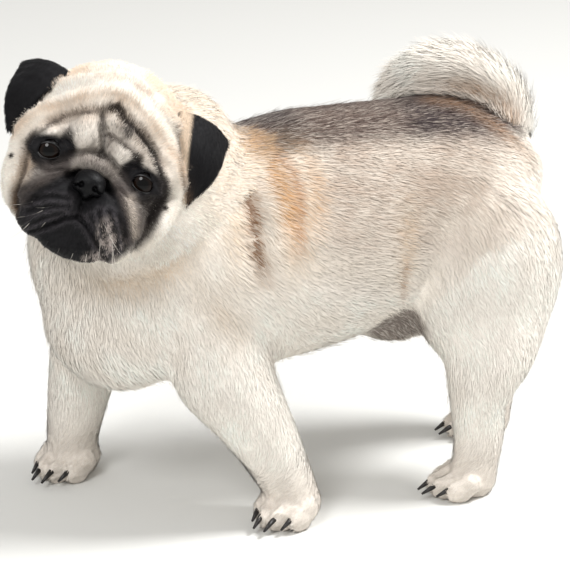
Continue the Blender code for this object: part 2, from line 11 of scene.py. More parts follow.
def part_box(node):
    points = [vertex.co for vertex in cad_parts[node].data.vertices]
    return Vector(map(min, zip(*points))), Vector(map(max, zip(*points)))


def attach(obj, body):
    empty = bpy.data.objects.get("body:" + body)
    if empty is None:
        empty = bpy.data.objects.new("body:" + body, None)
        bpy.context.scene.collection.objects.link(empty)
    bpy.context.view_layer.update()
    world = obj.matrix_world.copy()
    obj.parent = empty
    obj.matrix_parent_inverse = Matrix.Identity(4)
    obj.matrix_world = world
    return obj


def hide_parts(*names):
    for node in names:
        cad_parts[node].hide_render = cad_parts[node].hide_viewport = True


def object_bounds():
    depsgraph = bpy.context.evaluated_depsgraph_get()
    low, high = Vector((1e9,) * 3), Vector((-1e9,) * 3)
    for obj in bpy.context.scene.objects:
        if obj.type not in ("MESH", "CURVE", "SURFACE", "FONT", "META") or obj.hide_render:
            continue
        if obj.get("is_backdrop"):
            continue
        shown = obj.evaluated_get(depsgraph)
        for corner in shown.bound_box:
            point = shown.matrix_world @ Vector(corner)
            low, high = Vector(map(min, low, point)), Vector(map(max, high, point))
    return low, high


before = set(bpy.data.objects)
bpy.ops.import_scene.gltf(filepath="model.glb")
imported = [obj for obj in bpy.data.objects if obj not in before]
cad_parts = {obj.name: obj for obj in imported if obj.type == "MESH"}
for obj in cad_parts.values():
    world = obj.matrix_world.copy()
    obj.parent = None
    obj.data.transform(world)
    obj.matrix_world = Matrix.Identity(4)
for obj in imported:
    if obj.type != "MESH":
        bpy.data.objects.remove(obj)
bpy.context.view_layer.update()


# Skin
# One hide over the whole dog, from the nose to the tip of the tail, with no seam at the cuts of the solids.
# It lies inside them by the depth of the coat, and carries the folds of the face, the line of the mouth and
# the grooves between the toes.
FLESH = ("head", "ear_left", "ear_right", "neck", "torso", "fore_leg_left", "fore_leg_right",
         "fore_paw_left", "fore_paw_right", "hind_leg_left", "hind_leg_right", "hind_paw_left",
         "hind_paw_right", "tail_root", "tail_bend", "tail_tip")
COAT_DEPTH = {"head": 1.5, "ear": 0.45, "neck": 4.5, "torso": 4.0, "fore_leg": 3.0, "hind_leg": 3.5,
              "fore_paw": 1.2, "hind_paw": 1.2, "tail": 6.0}
COAT_LENGTH = {"head": 4.8, "ear": 2.6, "neck": 9.0, "torso": 9.5, "fore_leg": 6.0, "hind_leg": 8.0,
               "fore_paw": 3.6, "hind_paw": 3.6, "tail": 14.0}

# Places in FLESH, by which each point of the skin knows what it lies on
HEAD, EARS, NECK, TORSO, TAIL_FROM = 0, (1, 2), 3, 4, 13
FORE_LEGS, HIND_LEGS, ALL_PAWS = (5, 6), (9, 10), (7, 8, 11, 12)


def turned(degrees, axis):
    """A turn about one axis."""
    return Matrix.Rotation(math.radians(degrees), 4, axis)


# The head's own axes, in millimetres: left, back and up from between the eyes
left_eye = sum(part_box("eye_left"), Vector()) / 2
right_eye = sum(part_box("eye_right"), Vector()) / 2
head_axes = (Matrix.Translation((left_eye + right_eye) / 2)
             @ turned(71, "Z")
             @ turned(-10, "X")
             @ turned(19.5, "Y")
             @ Matrix.Scale(0.001, 4))
head_turn = np.array(head_axes.to_3x3()) * 1000
# The eyes: how far out from the middle of the face, and half the opening between the lids
EYE_OUT, LID_WIDE, LID_HIGH = 34.5, 8.9, 6.3
# In metres: points of a solid closer than this are one, and each solid is swelled so that neighbours fuse
WELD, SWELL = 0.00002, 0.00035

# Each paw: where it meets the floor, which way it points, and its size
PAWS = {
    "fore_paw_left": ((0.0655, -0.0115, 0), 35, 1.08), "fore_paw_right": ((-0.0705, -0.1475, 0), 35, 1.08),
    "hind_paw_left": ((0.0615, 0.1305, 0), 0, 1.0), "hind_paw_right": ((-0.0425, 0.1845, 0), 0, 1.0),
}
TOES = ((-0.0158, -0.0125), (-0.0057, -0.0210), (0.0057, -0.0210), (0.0158, -0.0125))
CLAW_ROOT = 0.0118


def in_head_axes(spots):
    """Places in metres as the head's own millimetres: left, back and up from between the eyes."""
    return (np.array(head_axes.inverted().to_3x3()) @ (spots - np.array(head_axes.translation)).T).T


def mesh_of(form, name):
    """The mesh made from a bmesh, which is then freed."""
    made = bpy.data.meshes.new(name)
    form.to_mesh(made)
    form.free()
    return made


def placed(name, mesh):
    """An object in the scene that holds a mesh."""
    made = bpy.data.objects.new(name, mesh)
    bpy.context.scene.collection.objects.link(made)
    return made


def toe_places(foot, turn, size):
    """The place of each toe's tip on a paw, fanned out from its middle."""
    paw = Matrix.Translation(foot) @ turned(turn, "Z") @ Matrix.Scale(size, 4)
    return [paw @ Matrix.Translation((across, ahead, 0.0092))
            @ turned(-700 * across, "Z") for across, ahead in TOES]


flesh = bmesh.new()
owner = []
for number, name in enumerate(FLESH):
    piece = bmesh.new()
    piece.from_mesh(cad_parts[name].data)
    bmesh.ops.remove_doubles(piece, verts=piece.verts, dist=WELD)
    piece.normal_update()
    for vertex in piece.verts:
        vertex.co += vertex.normal * SWELL
    if name in PAWS:
        # The claws are pieces of their own, so their solids are pushed back into the toes
        for place in toe_places(*PAWS[name]):
            back = place.inverted()
            for vertex in piece.verts:
                near = back @ vertex.co
                if near.y < -CLAW_ROOT and abs(near.x) < 0.0045 and near.z < 0.0035:
                    vertex.co = place @ Vector((near.x * 0.6, -0.0112, max(near.z, -0.0035)))
    owner += [number] * len(piece.faces)
    mesh = mesh_of(piece, "piece")
    flesh.from_mesh(mesh)
    bpy.data.meshes.remove(mesh)
solid_tree = BVHTree.FromBMesh(flesh)
skin = placed("skin", mesh_of(flesh, "skin"))


def modify(obj, kind, **settings):
    """Adds a modifier with its settings."""
    made = obj.modifiers.new(kind.lower(), kind)
    for name, value in settings.items():
        setattr(made, name, value)


def apply_modifiers(obj):
    """Makes an object's modifiers part of its mesh."""
    graph = bpy.context.evaluated_depsgraph_get()
    made = bpy.data.meshes.new_from_object(obj.evaluated_get(graph))
    obj.modifiers.clear()
    obj.data = made


def rows_of(items, field, width, kind=int):
    """One field of all the items of a mesh, as rows of numbers."""
    values = np.empty(len(items) * width, kind)
    items.foreach_get(field, values)
    return values.reshape(-1, width)


def places_of(mesh, field="co"):
    """The places of a mesh's points, or their normals."""
    return rows_of(mesh.vertices, field, 3, float)


SKIN_POINTS = 96000
modify(skin, "REMESH", mode="VOXEL", voxel_size=0.0012)
apply_modifiers(skin)
points = places_of(skin.data)
# The face, the ears and the paws keep their fine mesh, and the rest is thinned
left, back, up = in_head_axes(points).T
high = points[:, 2] > 0.2
fine = (back < 32) & (np.abs(up) < 68) & (np.abs(left) < 60) & high
fine |= (back > 15) & (back < 56) & (up > -8) & (np.abs(left) > 50) & high
fine |= points[:, 2] < 0.022
coarse = skin.vertex_groups.new(name="coarse")
coarse.add(np.nonzero(~fine)[0].tolist(), 1.0, "REPLACE")
modify(skin, "SMOOTH", iterations=3)
modify(skin, "SMOOTH", iterations=12, vertex_group="coarse")
modify(skin, "DECIMATE", ratio=min(1, SKIN_POINTS / len(points)), vertex_group="coarse",
       vertex_group_factor=1, use_collapse_triangulate=True)
apply_modifiers(skin)

points = places_of(skin.data)
edges = rows_of(skin.data.edges, "vertices", 2)
valence = np.bincount(edges.ravel(), minlength=len(points))


def spread(values, rounds):
    """Averages a value over the neighbours of each point of the skin."""
    for _ in range(rounds):
        total = np.bincount(edges[:, 0], values[edges[:, 1]], len(points))
        total += np.bincount(edges[:, 1], values[edges[:, 0]], len(points))
        values = 0.5 * values + 0.5 * total / valence
    return values


def spread_rows(rows, rounds):
    """The same for places, each axis by itself."""
    return np.column_stack([spread(rows[:, axis], rounds) for axis in range(3)])


part = np.array([owner[solid_tree.find_nearest(point)[2]] for point in points])
depth, length = np.empty(len(points)), np.empty(len(points))
for number, name in enumerate(FLESH):
    kind = next(key for key in COAT_DEPTH if name.startswith(key))
    depth[part == number] = COAT_DEPTH[kind]
    length[part == number] = COAT_LENGTH[kind]
local = in_head_axes(points)
on_head = part <= NECK
# The flat facets of the solids are evened out, away from the face, the ears and the paws
plain = np.clip((points[:, 2] - 0.03) / 0.02, 0, 1)
plain = np.where(part == HEAD, np.clip((local[:, 1] - 26) / 16, 0, 1), plain)
plain = spread(np.where(np.isin(part, EARS), 0.0, plain), 4)
rounds = 26
smooth = spread_rows(points, rounds)
smooth += spread_rows(points - smooth, rounds)
points += (smooth - points) * plain[:, None]
skin.data.vertices.foreach_set("co", points.ravel())
skin.data.update()
normals = places_of(skin.data, "normal")


def waves(spots, seed):
    """A smooth random value from about -1 to 1 over places in millimetres, with no set direction."""
    chosen = np.random.default_rng(seed)
    total = np.zeros(len(spots))
    for size in (6, 8, 10, 13, 16, 20, 25, 32):
        for _ in range(2):
            way = chosen.normal(size=3)
            along = spots @ (way / np.linalg.norm(way))
            total += np.sin(along * math.tau / size + chosen.random() * math.tau)
    return total / 4


def near_line(spots, line):
    """The distance of each spot from a line of points."""
    best = np.full(len(spots), 1e9)
    line = np.array(line, float)
    for start, end in zip(line, line[1:]):
        along = end - start
        t = np.clip(((spots - start) @ along) / max(along @ along, 1e-9), 0, 1)
        best = np.minimum(best, np.linalg.norm(spots - start - t[:, None] * along, axis=1))
    return best


def stroke(spots, line, wide):
    """1 along a line of points, fading away over its half width."""
    return np.exp(-(near_line(spots, line) / wide) ** 2)


def both_sides(line):
    """A line given from the middle to the left, run right across."""
    return [(-x, z) for x, z in line[::-1]] + list(line)


def near_eye(spots):
    """How far each spot is from the nearer eye, in sizes of the opening between the lids."""
    across = (np.abs(spots[:, 0]) - EYE_OUT) / LID_WIDE
    return np.hypot(across, spots[:, 2] / LID_HIGH)


front = on_head * np.clip((60 - local[:, 1]) / 20, 0, 1)
facing = np.clip((-(normals @ head_turn)[:, 1] + 0.35) * 1.8, 0, 1) * front
face = local[:, [0, 2]]
# Creases of the face in the head's own millimetres: course, depth and half width
CREASES = {
    "round the face": (both_sides([(0, 42.5), (8, 37), (20, 32), (30, 25), (40, 15.5), (49, 5), (50.5, -4.5),
                                   (48, -13), (46, -25), (45.5, -36), (43, -48)]), 4.2, 2.6),
    "second round the face": (both_sides([(6, 50), (12.7, 47), (24.5, 41), (36.8, 31), (51, 22), (60, 8.5),
                                          (64, -2.5)]), 1.1, 3.2),
    "above the nose fold": (both_sides([(0, 10), (9, 8.5), (16, 4.5), (23, -1.5), (29, -6)]), 4.2, 2.6),
    "below the nose fold": (both_sides([(9, -7), (16, -11), (24, -18.5), (31, -27), (35, -37)]), 4.0, 2.8),
    "middle of the brow": ([(-9, 36), (-6, 30), (-2, 22), (0, 15), (1, 9)], 4.2, 2.6),
    "across the left brow": ([(1, 23), (9, 23), (19, 20), (26, 14)], 2.6, 2.0),
    "lip": (both_sides([(0, -34.5), (8, -38), (15.5, -45.5), (22, -51.5), (28, -57.5)]), 2.6, 1.6),
    "under the nose": ([(0, -18), (0, -26), (0, -34.5)], 2.4, 1.5),
    "left lip, first": ([(9, -30), (14, -40), (19, -50)], 1.8, 1.5),
    "left lip, second": ([(13, -25), (20, -36), (26, -50)], 2.2, 1.6),
    "left lip, third": ([(19, -23), (27, -34), (33, -48)], 2.2, 1.6),
    "left lip, fourth": ([(26, -24), (34, -34), (38, -46)], 1.8, 1.6),
    "right lip, first": ([(-10, -24), (-22, -26), (-34, -33)], 2.2, 1.6),
    "right lip, second": ([(-9, -29), (-21, -33), (-34, -43)], 2.2, 1.6),
    "right lip, third": ([(-10, -35), (-20, -41), (-29, -51)], 1.7, 1.6),
    "under the left eye": ([(22, -9), (29, -12.5), (38, -12), (46, -6)], 2.4, 1.9),
    "under the right eye": ([(-22, -9), (-29, -12.5), (-38, -12), (-46, -6)], 2.4, 1.9),
    "over the left eye": ([(22, 9.5), (30, 10.5), (40, 7.0), (46, 1)], 2.2, 1.8),
    "over the right eye": ([(-22, 9.5), (-30, 10.5), (-40, 7.0), (-46, 1)], 2.2, 1.8),
    "left crown": ([(6.6, 60), (12, 58), (18.7, 57)], 0.7, 1.6),
    "right crown": ([(-22, 56), (-12, 60), (-4, 61)], 0.5, 1.6),
}
# Rolls of loose skin between the creases: course, height and half width
ROLLS = (
    (both_sides([(0, 3), (13, -1), (27, -11.5), (36, -23), (40, -33)]), 4.4, 6.8),
    (both_sides([(0, 46.5), (10, 42), (22, 36.5), (33.5, 28), (45.5, 18.5), (54.5, 7), (57, -4), (53, -18),
                 (50, -30)]), 1.4, 5.0),
    (both_sides([(6, 57), (16, 54), (30, 47), (44, 37), (58, 22)]), 0.4, 6.0),
    ([(23, 18), (33, 15), (43, 7), (47, -2)], 2.6, 4.2),
    ([(-23, 18), (-33, 15), (-43, 7), (-47, -2)], 2.6, 4.2),
    ([(15, 14), (13, 11)], 3.4, 7.5), ([(-17, 27), (-13, 15)], 3.8, 8.5),
    ([(10, 33), (24, 26), (38, 19)], 2.6, 6.0),
    ([(20, -14), (27, -20), (31, -28)], 1.2, 5.0), ([(-20, -14), (-27, -20), (-31, -28)], 1.2, 5.0),
    ([(14, -28), (27, -46)], 3.4, 10.0), ([(-14, -28), (-27, -46)], 3.4, 10.0),
    ([(-12, -60), (12, -60)], 1.5, 8.0),
)
sink = np.zeros(len(points))
for line, high, wide in ROLLS:
    sink += high * stroke(face, line, wide) * facing
for line, deep, wide in CREASES.values():
    sink -= deep * stroke(face, line, wide) * facing
# Small wrinkles break up the broad rolls, and the creases wander in depth
sink += waves(local, 5) * 0.3 * facing
# Folds of the loose skin on the neck, the shoulders and the flanks: course in the dog's millimetres, depth
# and half width, a roll where the depth is less than nothing
FOLDS = (
    ([(49, -43, 274), (65, -44, 254), (76, -46, 235), (82, -45, 218), (84, -42, 200), (84, -40, 180)],
     3.4, 7),
    ([(50, -28, 280), (70, -30, 258), (83, -30, 232), (87, -32, 208)], -1.8, 10),
    ([(58, 0, 272), (74, -4, 252), (83, -10, 232), (88, -16, 205), (88, -24, 180)], 2.2, 10),
    ([(72, 68, 256), (76, 71, 223), (76, 71, 194), (73, 72, 176), (60, 76, 146)], 2.6, 10),
    ([(-70, 72, 256), (-72, 75, 223), (-73, 75, 194), (-70, 76, 176), (-58, 80, 146)], 2.6, 10),
    ([(86, -90, 230), (80, -100, 214), (71, -120, 202), (59, -139, 197), (35, -160, 196)], 3.0, 9),
    ([(-45, -30, 288), (-75, -45, 262), (-100, -60, 235), (-108, -66, 205)], 2.4, 9),
    ([(-52, -78, 285), (-82, -92, 255), (-98, -98, 225)], 2.4, 8),
)
for line, deep, wide in FOLDS:
    ends = np.minimum(*(np.linalg.norm(points * 1000 - end, axis=1) for end in (line[0], line[-1])))
    along = 1 - np.exp(-(ends / wide / 2.2) ** 2)
    sink -= deep * along * stroke(points * 1000, line, wide) * (part >= NECK)
opening = near_eye(local)
at_eye = np.exp(-(np.clip(opening - 1, 0, 9) / 0.8) ** 2) * facing
depth = np.where(facing * (face[:, 1] < 20) > 0, 0.8, depth)
# The loose skin of the nape fills the hollows between the skull, the neck and the shoulders
reach = np.linalg.norm((points - (-0.01, -0.085, 0.29)) / (0.075, 0.075, 0.055), axis=1)
loose = np.clip(1.6 - reach, 0, 1) * ~np.isin(part, EARS) * np.clip((local[:, 1] - 40) / 20, 0, 1)
smooth = spread_rows(points, 260)
fill = np.sum((smooth - points) * normals, axis=1)
points += normals * (spread(np.clip(fill, 0, 0.006) * loose, 12))[:, None]
short = 2.8 + 2.6 * np.clip((local[:, 1] - 16) / 20, 0, 1)
length = np.where(facing * (face[:, 1] < 25) > 0.3, short, length)
length = spread(length, 60)
# The rear of the head's solid is nape, with the depth and length of coat that the neck has there
nape = (part == HEAD) & (local[:, 1] > 62)
depth, length = np.where(nape, 4.0, depth), np.where(nape, 9.0, length)
length = spread(length, 40)
depth = spread(depth, 60) * (1 - at_eye) * np.clip((points[:, 2] - 0.0005) / 0.004, 0, 1)
shift = sink - depth
points = points + normals * shift[:, None] / 1000
points[:, 2] = np.maximum(points[:, 2], 0.0001)
skin.data.vertices.foreach_set("co", points.ravel())
skin.data.update()
skin.data.shade_smooth()
normals = places_of(skin.data, "normal")


def linear(code):
    """The linear colour of an sRGB hex value."""
    parts = [int(code[i:i + 2], 16) / 255 for i in (1, 3, 5)]
    return np.array([c / 12.92 if c <= 0.04045 else ((c + 0.055) / 1.055) ** 2.4 for c in parts])


def fade(value, full, none):
    """1 where a value is at full, 0 at none, and smooth between."""
    t = np.clip((value - none) / (full - none), 0, 1)
    return t * t * (3 - 2 * t)


def oval(spots, centre, sizes, turn=0, soft=0.35):
    """1 inside an oval on the face, 0 outside it, and smooth at its edge."""
    x, z = (spots - np.array(centre)).T
    c, s = math.cos(math.radians(turn)), math.sin(math.radians(turn))
    away = np.hypot((x * c + z * s) / sizes[0], (z * c - x * s) / sizes[1])
    return fade(away, 1 - soft, 1 + soft)


CREAM, WHITE, FAWN, ORANGE = "#ECE2D4", "#F3ECE2", "#D9BA95", "#C4935F"
GREY_FAWN, SADDLE, SADDLE_DARK = "#B9A899", "#5E4F49", "#3A3133"
STREAK, SHEATH, CREASE, MASK = "#9C7654", "#7E736C", "#1D1715", "#0C0B0E"
BROW, BROW_PALE_AND_HIGHLIGHT, BROW_DARK, BEIGE = "#CBC1B6", "#F1EAE0", "#4B423D", "#BFAE9C"
PALE_FAWN, LIP_SHEEN, CREASE_TANS = "#CDB59A", "#B9ADA6", ("#B58D66", "#B8946F", "#B08C6C")
EYE_HOLLOW, EAR_BLACK, EAR_EDGE = "#131215", "#0E0D10", "#8C725D"
# Lines of the body's markings in the dog's millimetres: colour, half width, strength and course
BODY_LINES = (
    (FAWN, 16, 0.40, [(40, -16, 286), (64, -12, 262), (78, -12, 240), (84, -16, 212)]),
    (FAWN, 11, 0.40, [(52, -56, 270), (70, -58, 240), (82, -60, 205)]),
    (PALE_FAWN, 12, 0.60, [(86, -90, 230), (80, -100, 214), (71, -120, 202), (59, -139, 197),
                           (35, -160, 196)]),
    (PALE_FAWN, 10, 0.40, [(78, -85, 193), (80, -70, 175), (84, -55, 160)]),
    (FAWN, 8, 0.30, [(72, 73, 244), (76, 71, 223), (76, 71, 194), (73, 72, 176)]),
    ("#7F583F", 9, 0.65, [(10, -34, 296), (24, -32, 292), (38, -28, 284)]),
    (ORANGE, 9, 0.75, [(30, -34, 290), (44, -30, 282), (58, -24, 270), (70, -20, 255), (79, -18, 238),
                       (84, -16, 222)]),
    ("#A9774E", 4, 0.55, [(40, -22, 284), (56, -12, 272), (70, -11, 256), (80, -12, 238), (84, -14, 222)]),
    (ORANGE, 7, 0.40, [(46, -2, 284), (60, 3, 271), (73, 2, 253), (81, -4, 233)]),
    (STREAK, 6.5, 0.75, [(49, -43, 274), (65, -44, 254), (76, -46, 235), (82, -45, 218), (84, -42, 200)]),
    ("#6E4F3A", 3, 0.65, [(58, -43, 265), (65, -44, 254), (76, -46, 235), (82, -45, 218), (84, -43, 206)]),
    (STREAK, 3, 0.5, [(75, 72, 200), (73, 73, 176), (66, 75, 160)]),
    (SADDLE, 1.8, 0.3, [(62, 138, 250), (70, 147, 241), (78, 158, 228)]),
    (SADDLE, 1.5, 0.2, [(70, 132, 240), (76, 140, 230)]),
    (SADDLE, 1.5, 0.2, [(66, 152, 238), (72, 162, 228)]),
    (ORANGE, 11, 0.28, [(-45, -30, 288), (-75, -45, 262), (-100, -60, 235), (-108, -66, 205)]),
    (ORANGE, 10, 0.25, [(-50, -8, 284), (-76, -18, 262), (-94, -28, 235), (-98, -30, 210)]),
    (FAWN, 9, 0.35, [(-52, -78, 285), (-82, -92, 255), (-98, -98, 225)]),
)
skin_tree = BVHTree.FromObject(skin, bpy.context.evaluated_depsgraph_get())


def laid(line):
    """A line of markings cut in short steps and laid on the skin."""
    steps = [Vector(a).lerp(Vector(b), t / 4) for a, b in zip(line, line[1:]) for t in range(4)]
    steps.append(Vector(line[-1]))
    return [skin_tree.find_nearest(step / 1000)[0] * 1000 for step in steps]


BODY_LINES = [(code, wide, strength, laid(line)) for code, wide, strength, line in BODY_LINES]
# Colour in the creases of the head: colour, half width, strength and the crease
HEAD_CREASES = (
    (CREASE_TANS[0], 4.8, 0.45, "round the face"),
    (CREASE, 1.9, 1.0, "round the face"), (CREASE_TANS[1], 3.4, 0.55, "second round the face"),
    (CREASE, 1.8, 0.9, "above the nose fold"), (MASK, 2.2, 0.9, "below the nose fold"),
    (CREASE, 2.2, 0.95, "middle of the brow"), (MASK, 1.4, 0.9, "lip"),
    (CREASE_TANS[2], 2.0, 0.5, "left crown"), ("#C9AE92", 2.0, 0.4, "right crown"),
)


def paint_body(paint, mm, near, parts, chance, mottle):
    """Trunk, legs and tail: cream, with a dark saddle, grey flanks and tan along the folds."""
    x, y, z = mm.T
    trunk = np.maximum((parts == NECK) | (parts == TORSO), (parts == HEAD) * fade(near[:, 1], 84, 62))
    legs = ((parts > TORSO) & (parts < TAIL_FROM)) * 1.0
    tail = (parts >= TAIL_FROM) * 1.0
    paint(WHITE, 0.45 + 0.2 * mottle + legs * 0.4 + fade(z, 130, 240) * 0.4 + tail * 0.4)
    flank = trunk * fade(z, 250, 158) * fade(y, 26, -14) * fade(y, 120, 195)
    paint(GREY_FAWN, flank * (0.75 + 0.2 * mottle + 0.25 * chance))
    spine = 0.12 * np.minimum(y, 0)
    saddle = (trunk * fade(np.abs(x - spine), 34, 54) * fade(z, 288, 262)
              * fade(y, -24, -50) * fade(y, 176, 190))
    paint(SADDLE, saddle, 0.85, 0.4)
    dark = saddle * np.maximum(fade(y, 98, 70), fade(np.abs(y + 14), 8, 26) * 0.8)
    paint(SADDLE_DARK, dark, 0.75, 0.5)
    for code, wide, strength, line in BODY_LINES:
        ends = np.minimum(np.linalg.norm(mm - line[0], axis=1), np.linalg.norm(mm - line[-1], axis=1))
        tapered = 0.35 + 0.65 * np.clip(ends / 2.5 / wide, 0, 1)
        paint(code, trunk * stroke(mm, line, wide) * strength * tapered, 1, 0.45)
    sheath = fade(np.linalg.norm((mm - (38, 78, 134)) / (30, 26, 24), axis=1), 0.7, 1.05)
    paint(SHEATH, (parts >= NECK) * sheath * fade(z, 148, 176), 0.85, 0.4)
    # Dark tan on the underside of the tail's curl, and a painted shadow in the same tan on the back under
    # it; then more tan on the tail
    curl_tan_and_shadow = stroke(mm, [(5, 112, 302), (18, 135, 300), (30, 152, 288), (36, 165, 272), (34, 176, 258)], 11)
    paint("#A07C5C", np.maximum(tail, trunk * 0.5) * curl_tan_and_shadow, 0.9, 0.4)
    curl_tan_and_shadow = stroke(mm, [(4, 118, 305), (8, 142, 304), (13, 157, 299), (18, 169, 290), (23, 178, 278)], 8)
    paint("#A88566", tail * curl_tan_and_shadow, 0.75, 0.4)
    # Hocks, wrists and toes: a little grey
    paint(GREY_FAWN, legs * fade(z, 20, 60), 0.30, 0.3)


def paint_brow(paint, flat, chance, inner):
    """The brow: pale locks of hair over each eye, parted by dark ones, painted highlights on the tops of the
    brow pads, and the black round the eyes.
    """
    paint("#DED5CA", inner * oval(flat, (0, 12), (42, 30), soft=0.2), 0.7, 0.3)
    paint("#6E645D", inner * oval(np.abs(flat), (12, 10), (13, 7), soft=0.8), 0.35, 0.9)
    over_eyes = both_sides([(3, 24), (10, 11), (21, 9), (26, 16)])
    paint(BROW_DARK, inner * stroke(flat, over_eyes, 3.5), 0.45, 0.8)
    paint(BROW, inner * (oval(flat, (15, 21), (13, 18), 24) + oval(flat, (-15, 21), (13, 18), -24)) * 0.6)
    paint(BEIGE, inner * oval(flat, (-45, -18), (7, 26), soft=0.3), 0.6, 0.4)
    paint("#39322E", inner * oval(flat, (45, -20), (8, 25), soft=0.4), 0.9, 0.5)
    streaks = (np.sin(flat[:, 0] * 0.55 + flat[:, 1] * 0.35 + 1.1 * np.sin(flat[:, 1] * 0.21))
               + 0.6 * np.sin(flat[:, 0] * 1.3 - flat[:, 1] * 0.5) + 1.1 * chance)
    paint("#5A504A", inner * oval(flat, (0, 18), (38, 17), soft=0.5) * fade(streaks, 1.8, 0.0) * 0.6)
    # The tops of the brow pads: pale fur with a painted highlight
    paint(BROW_PALE_AND_HIGHLIGHT, inner * oval(flat, (-14.5, 23), (9, 14), -14, 0.85), 0.42, 1.0)
    paint(BROW_PALE_AND_HIGHLIGHT, inner * oval(flat, (15, 14), (8, 9), 0, 0.85), 0.42, 1.0)
    left_lock = [(11, 33), (25, 26), (37, 19), (45, 12), (48, 3)]
    paint("#EDE5DA", inner * stroke(flat, left_lock, 3.8), 0.7, 0.8)
    paint("#D9D3CB", inner * stroke(flat, [(-24, 22), (-36, 15), (-44, 8)], 3.6), 0.6, 0.8)
    across = CREASES["across the left brow"][0]
    paint("#3B312C", inner * stroke(flat, across, 2.2), 0.75, 0.5)
    for side in (1, -1):
        mirrored = flat * (side, 1)
        paint(EYE_HOLLOW, inner * oval(mirrored, (EYE_OUT, -1), (18.5, 12.5), -6, 0.2))
        paint(EYE_HOLLOW, inner * oval(mirrored, (23, 7), (7, 6), 30, 0.3))
        paint(EYE_HOLLOW, inner * oval(mirrored, (24.5, 12), (4.5, 8.5), 0, 0.4), 0.9, 0.5)
        paint(EYE_HOLLOW, inner * oval(mirrored, (27, -6), (12, 9), 30, 0.25))


def paint_mask(paint, near, flat, chance, inner):
    """The black mask, with the grey fold over the nose and its painted highlights, and painted sheen and
    highlights on the lips.
    """
    for centre, sizes, soft in (((0, -36), (43, 31), 0.10), ((-12, -41), (39, 25), 0.12),
                                ((0, -56), (33, 14), 0.2), ((0, -19), (22, 14), 0.25)):
        paint(MASK, inner * oval(flat, centre, sizes, soft=soft))
    paint("#2B2624", inner * oval(flat, (43, -17), (10, 12), soft=0.4), 0.85, 0.4)
    paint("#38322F", inner * oval(flat, (-34, -15), (8, 7), soft=0.6), 0.75, 0.4)
    # The fold over the nose: grey, with a painted highlight along its top and down its left arm
    arm = fade(flat[:, 0], 20, -44) * 0.4 + 0.6
    course = both_sides([(0, 3), (13, -1), (27, -11.5), (36, -23), (41, -36)])
    fold = inner * np.exp(-(near_line(flat, course) / 6.8) ** 4)
    paint("#58504C", fold * arm, 0.85, 0.4)
    # Painted highlights on the fold: along its top, and down its left arm
    paint("#8E847C", inner * stroke(flat, [(-14, 3), (4, 6.5), (14, 3)], 3.0), 0.40, 0.6)
    paint("#BDB1A4", inner * stroke(flat, [(29, -11), (36, -21), (41, -34)], 3.0), 0.6, 0.7)
    # Painted highlights on the ridges beside the wrinkles of the lips
    for line in [CREASES[name][0] for name in CREASES if "lip" in name]:
        paint("#4A464A", inner * np.exp(-((near_line(flat, line) - 3.2) / 1.5) ** 2), 0.30, 0.45)
    # Painted sheen on the black fur of the left lip and the chin, in broken patches
    broken_sheen = 0.05 + 0.75 * fade(waves(near * (3.4, 0.5, 1.7), 21) + 0.5 * chance, 0.6, -0.5)
    for centre, sizes, turn in (((25, -41), (8.5, 13), 22), ((22, -59), (9, 5), 10)):
        paint(LIP_SHEEN, inner * oval(flat, centre, sizes, turn, 0.5) * broken_sheen, 0.9, 0.7)


def paint_creases(paint, near, flat, chance, inner, skull):
    """The dark lines in the creases, tan beside them where the coat is pale."""
    hollow = oval(np.abs(flat), (EYE_OUT, -1), (20, 15), -6, 0.3)
    left_cheek = fade(flat[:, 0], 28, 20) * fade(flat[:, 1], -2, 8)
    no_tan = np.maximum(hollow, np.maximum(oval(flat, (0, -36), (47, 33), soft=0.12), left_cheek))
    uneven = 0.78 + 0.22 * np.sin(flat[:, 0] * 0.21 + 1.0) * np.sin(flat[:, 1] * 0.17 + 0.6) + 0.25 * chance
    for code, wide, strength, name in HEAD_CREASES:
        away = near_line(flat, CREASES[name][0])
        along = inner * np.exp(-(away / wide / (0.8 + 0.4 * uneven)) ** 2) * strength * uneven
        paint(code, along * (1 - (code in CREASE_TANS) * no_tan))
    top_of_brow = [(-4, 41), (2, 42), (9, 34), (14, 29)]
    paint(CREASE, inner * stroke(flat, top_of_brow, 3.3 + 1.8 * chance) * 0.92)
    left_of_brow = [(12, 34), (22, 29), (32, 22), (42, 12), (49, 2), (51, -8), (48, -22)]
    paint(CREASE, inner * stroke(flat, left_of_brow, 3.0 + 1.7 * chance) * 0.95)
    # Single dark hairs over the whole brow, most of them by the furrow
    paint(BROW_DARK, inner * oval(flat, (0, 20), (27, 18), soft=0.5) * fade(chance, 0.85, 0.6) * 0.85)
    paint("#352D2A", inner * oval(flat, (0, 17), (8, 20), soft=0.6) * fade(chance, 0.6, 0.2) * 0.85)
    # Tan folds on the crown and beside the ears, and a painted shadow in the gap in front of the left ear
    for line in ([(30, 52), (44, 45), (54, 32), (58, 14)], [(12, 66), (30, 58), (44, 50)],
                 [(-30, 57), (-44, 47), (-54, 34)]):
        paint("#C4A17C", skull * stroke(flat, line, 3.2) * fade(near[:, 1], 56, 66), 0.45, 0.3)
    shadow_by_left_ear = stroke(flat, [(42, 43), (53, 21), (64, 0)], 1.7)
    paint("#46362B", skull * shadow_by_left_ear * fade(near[:, 1], 10, 4) * fade(near[:, 1], 42, 50), 0.65, 0.3)


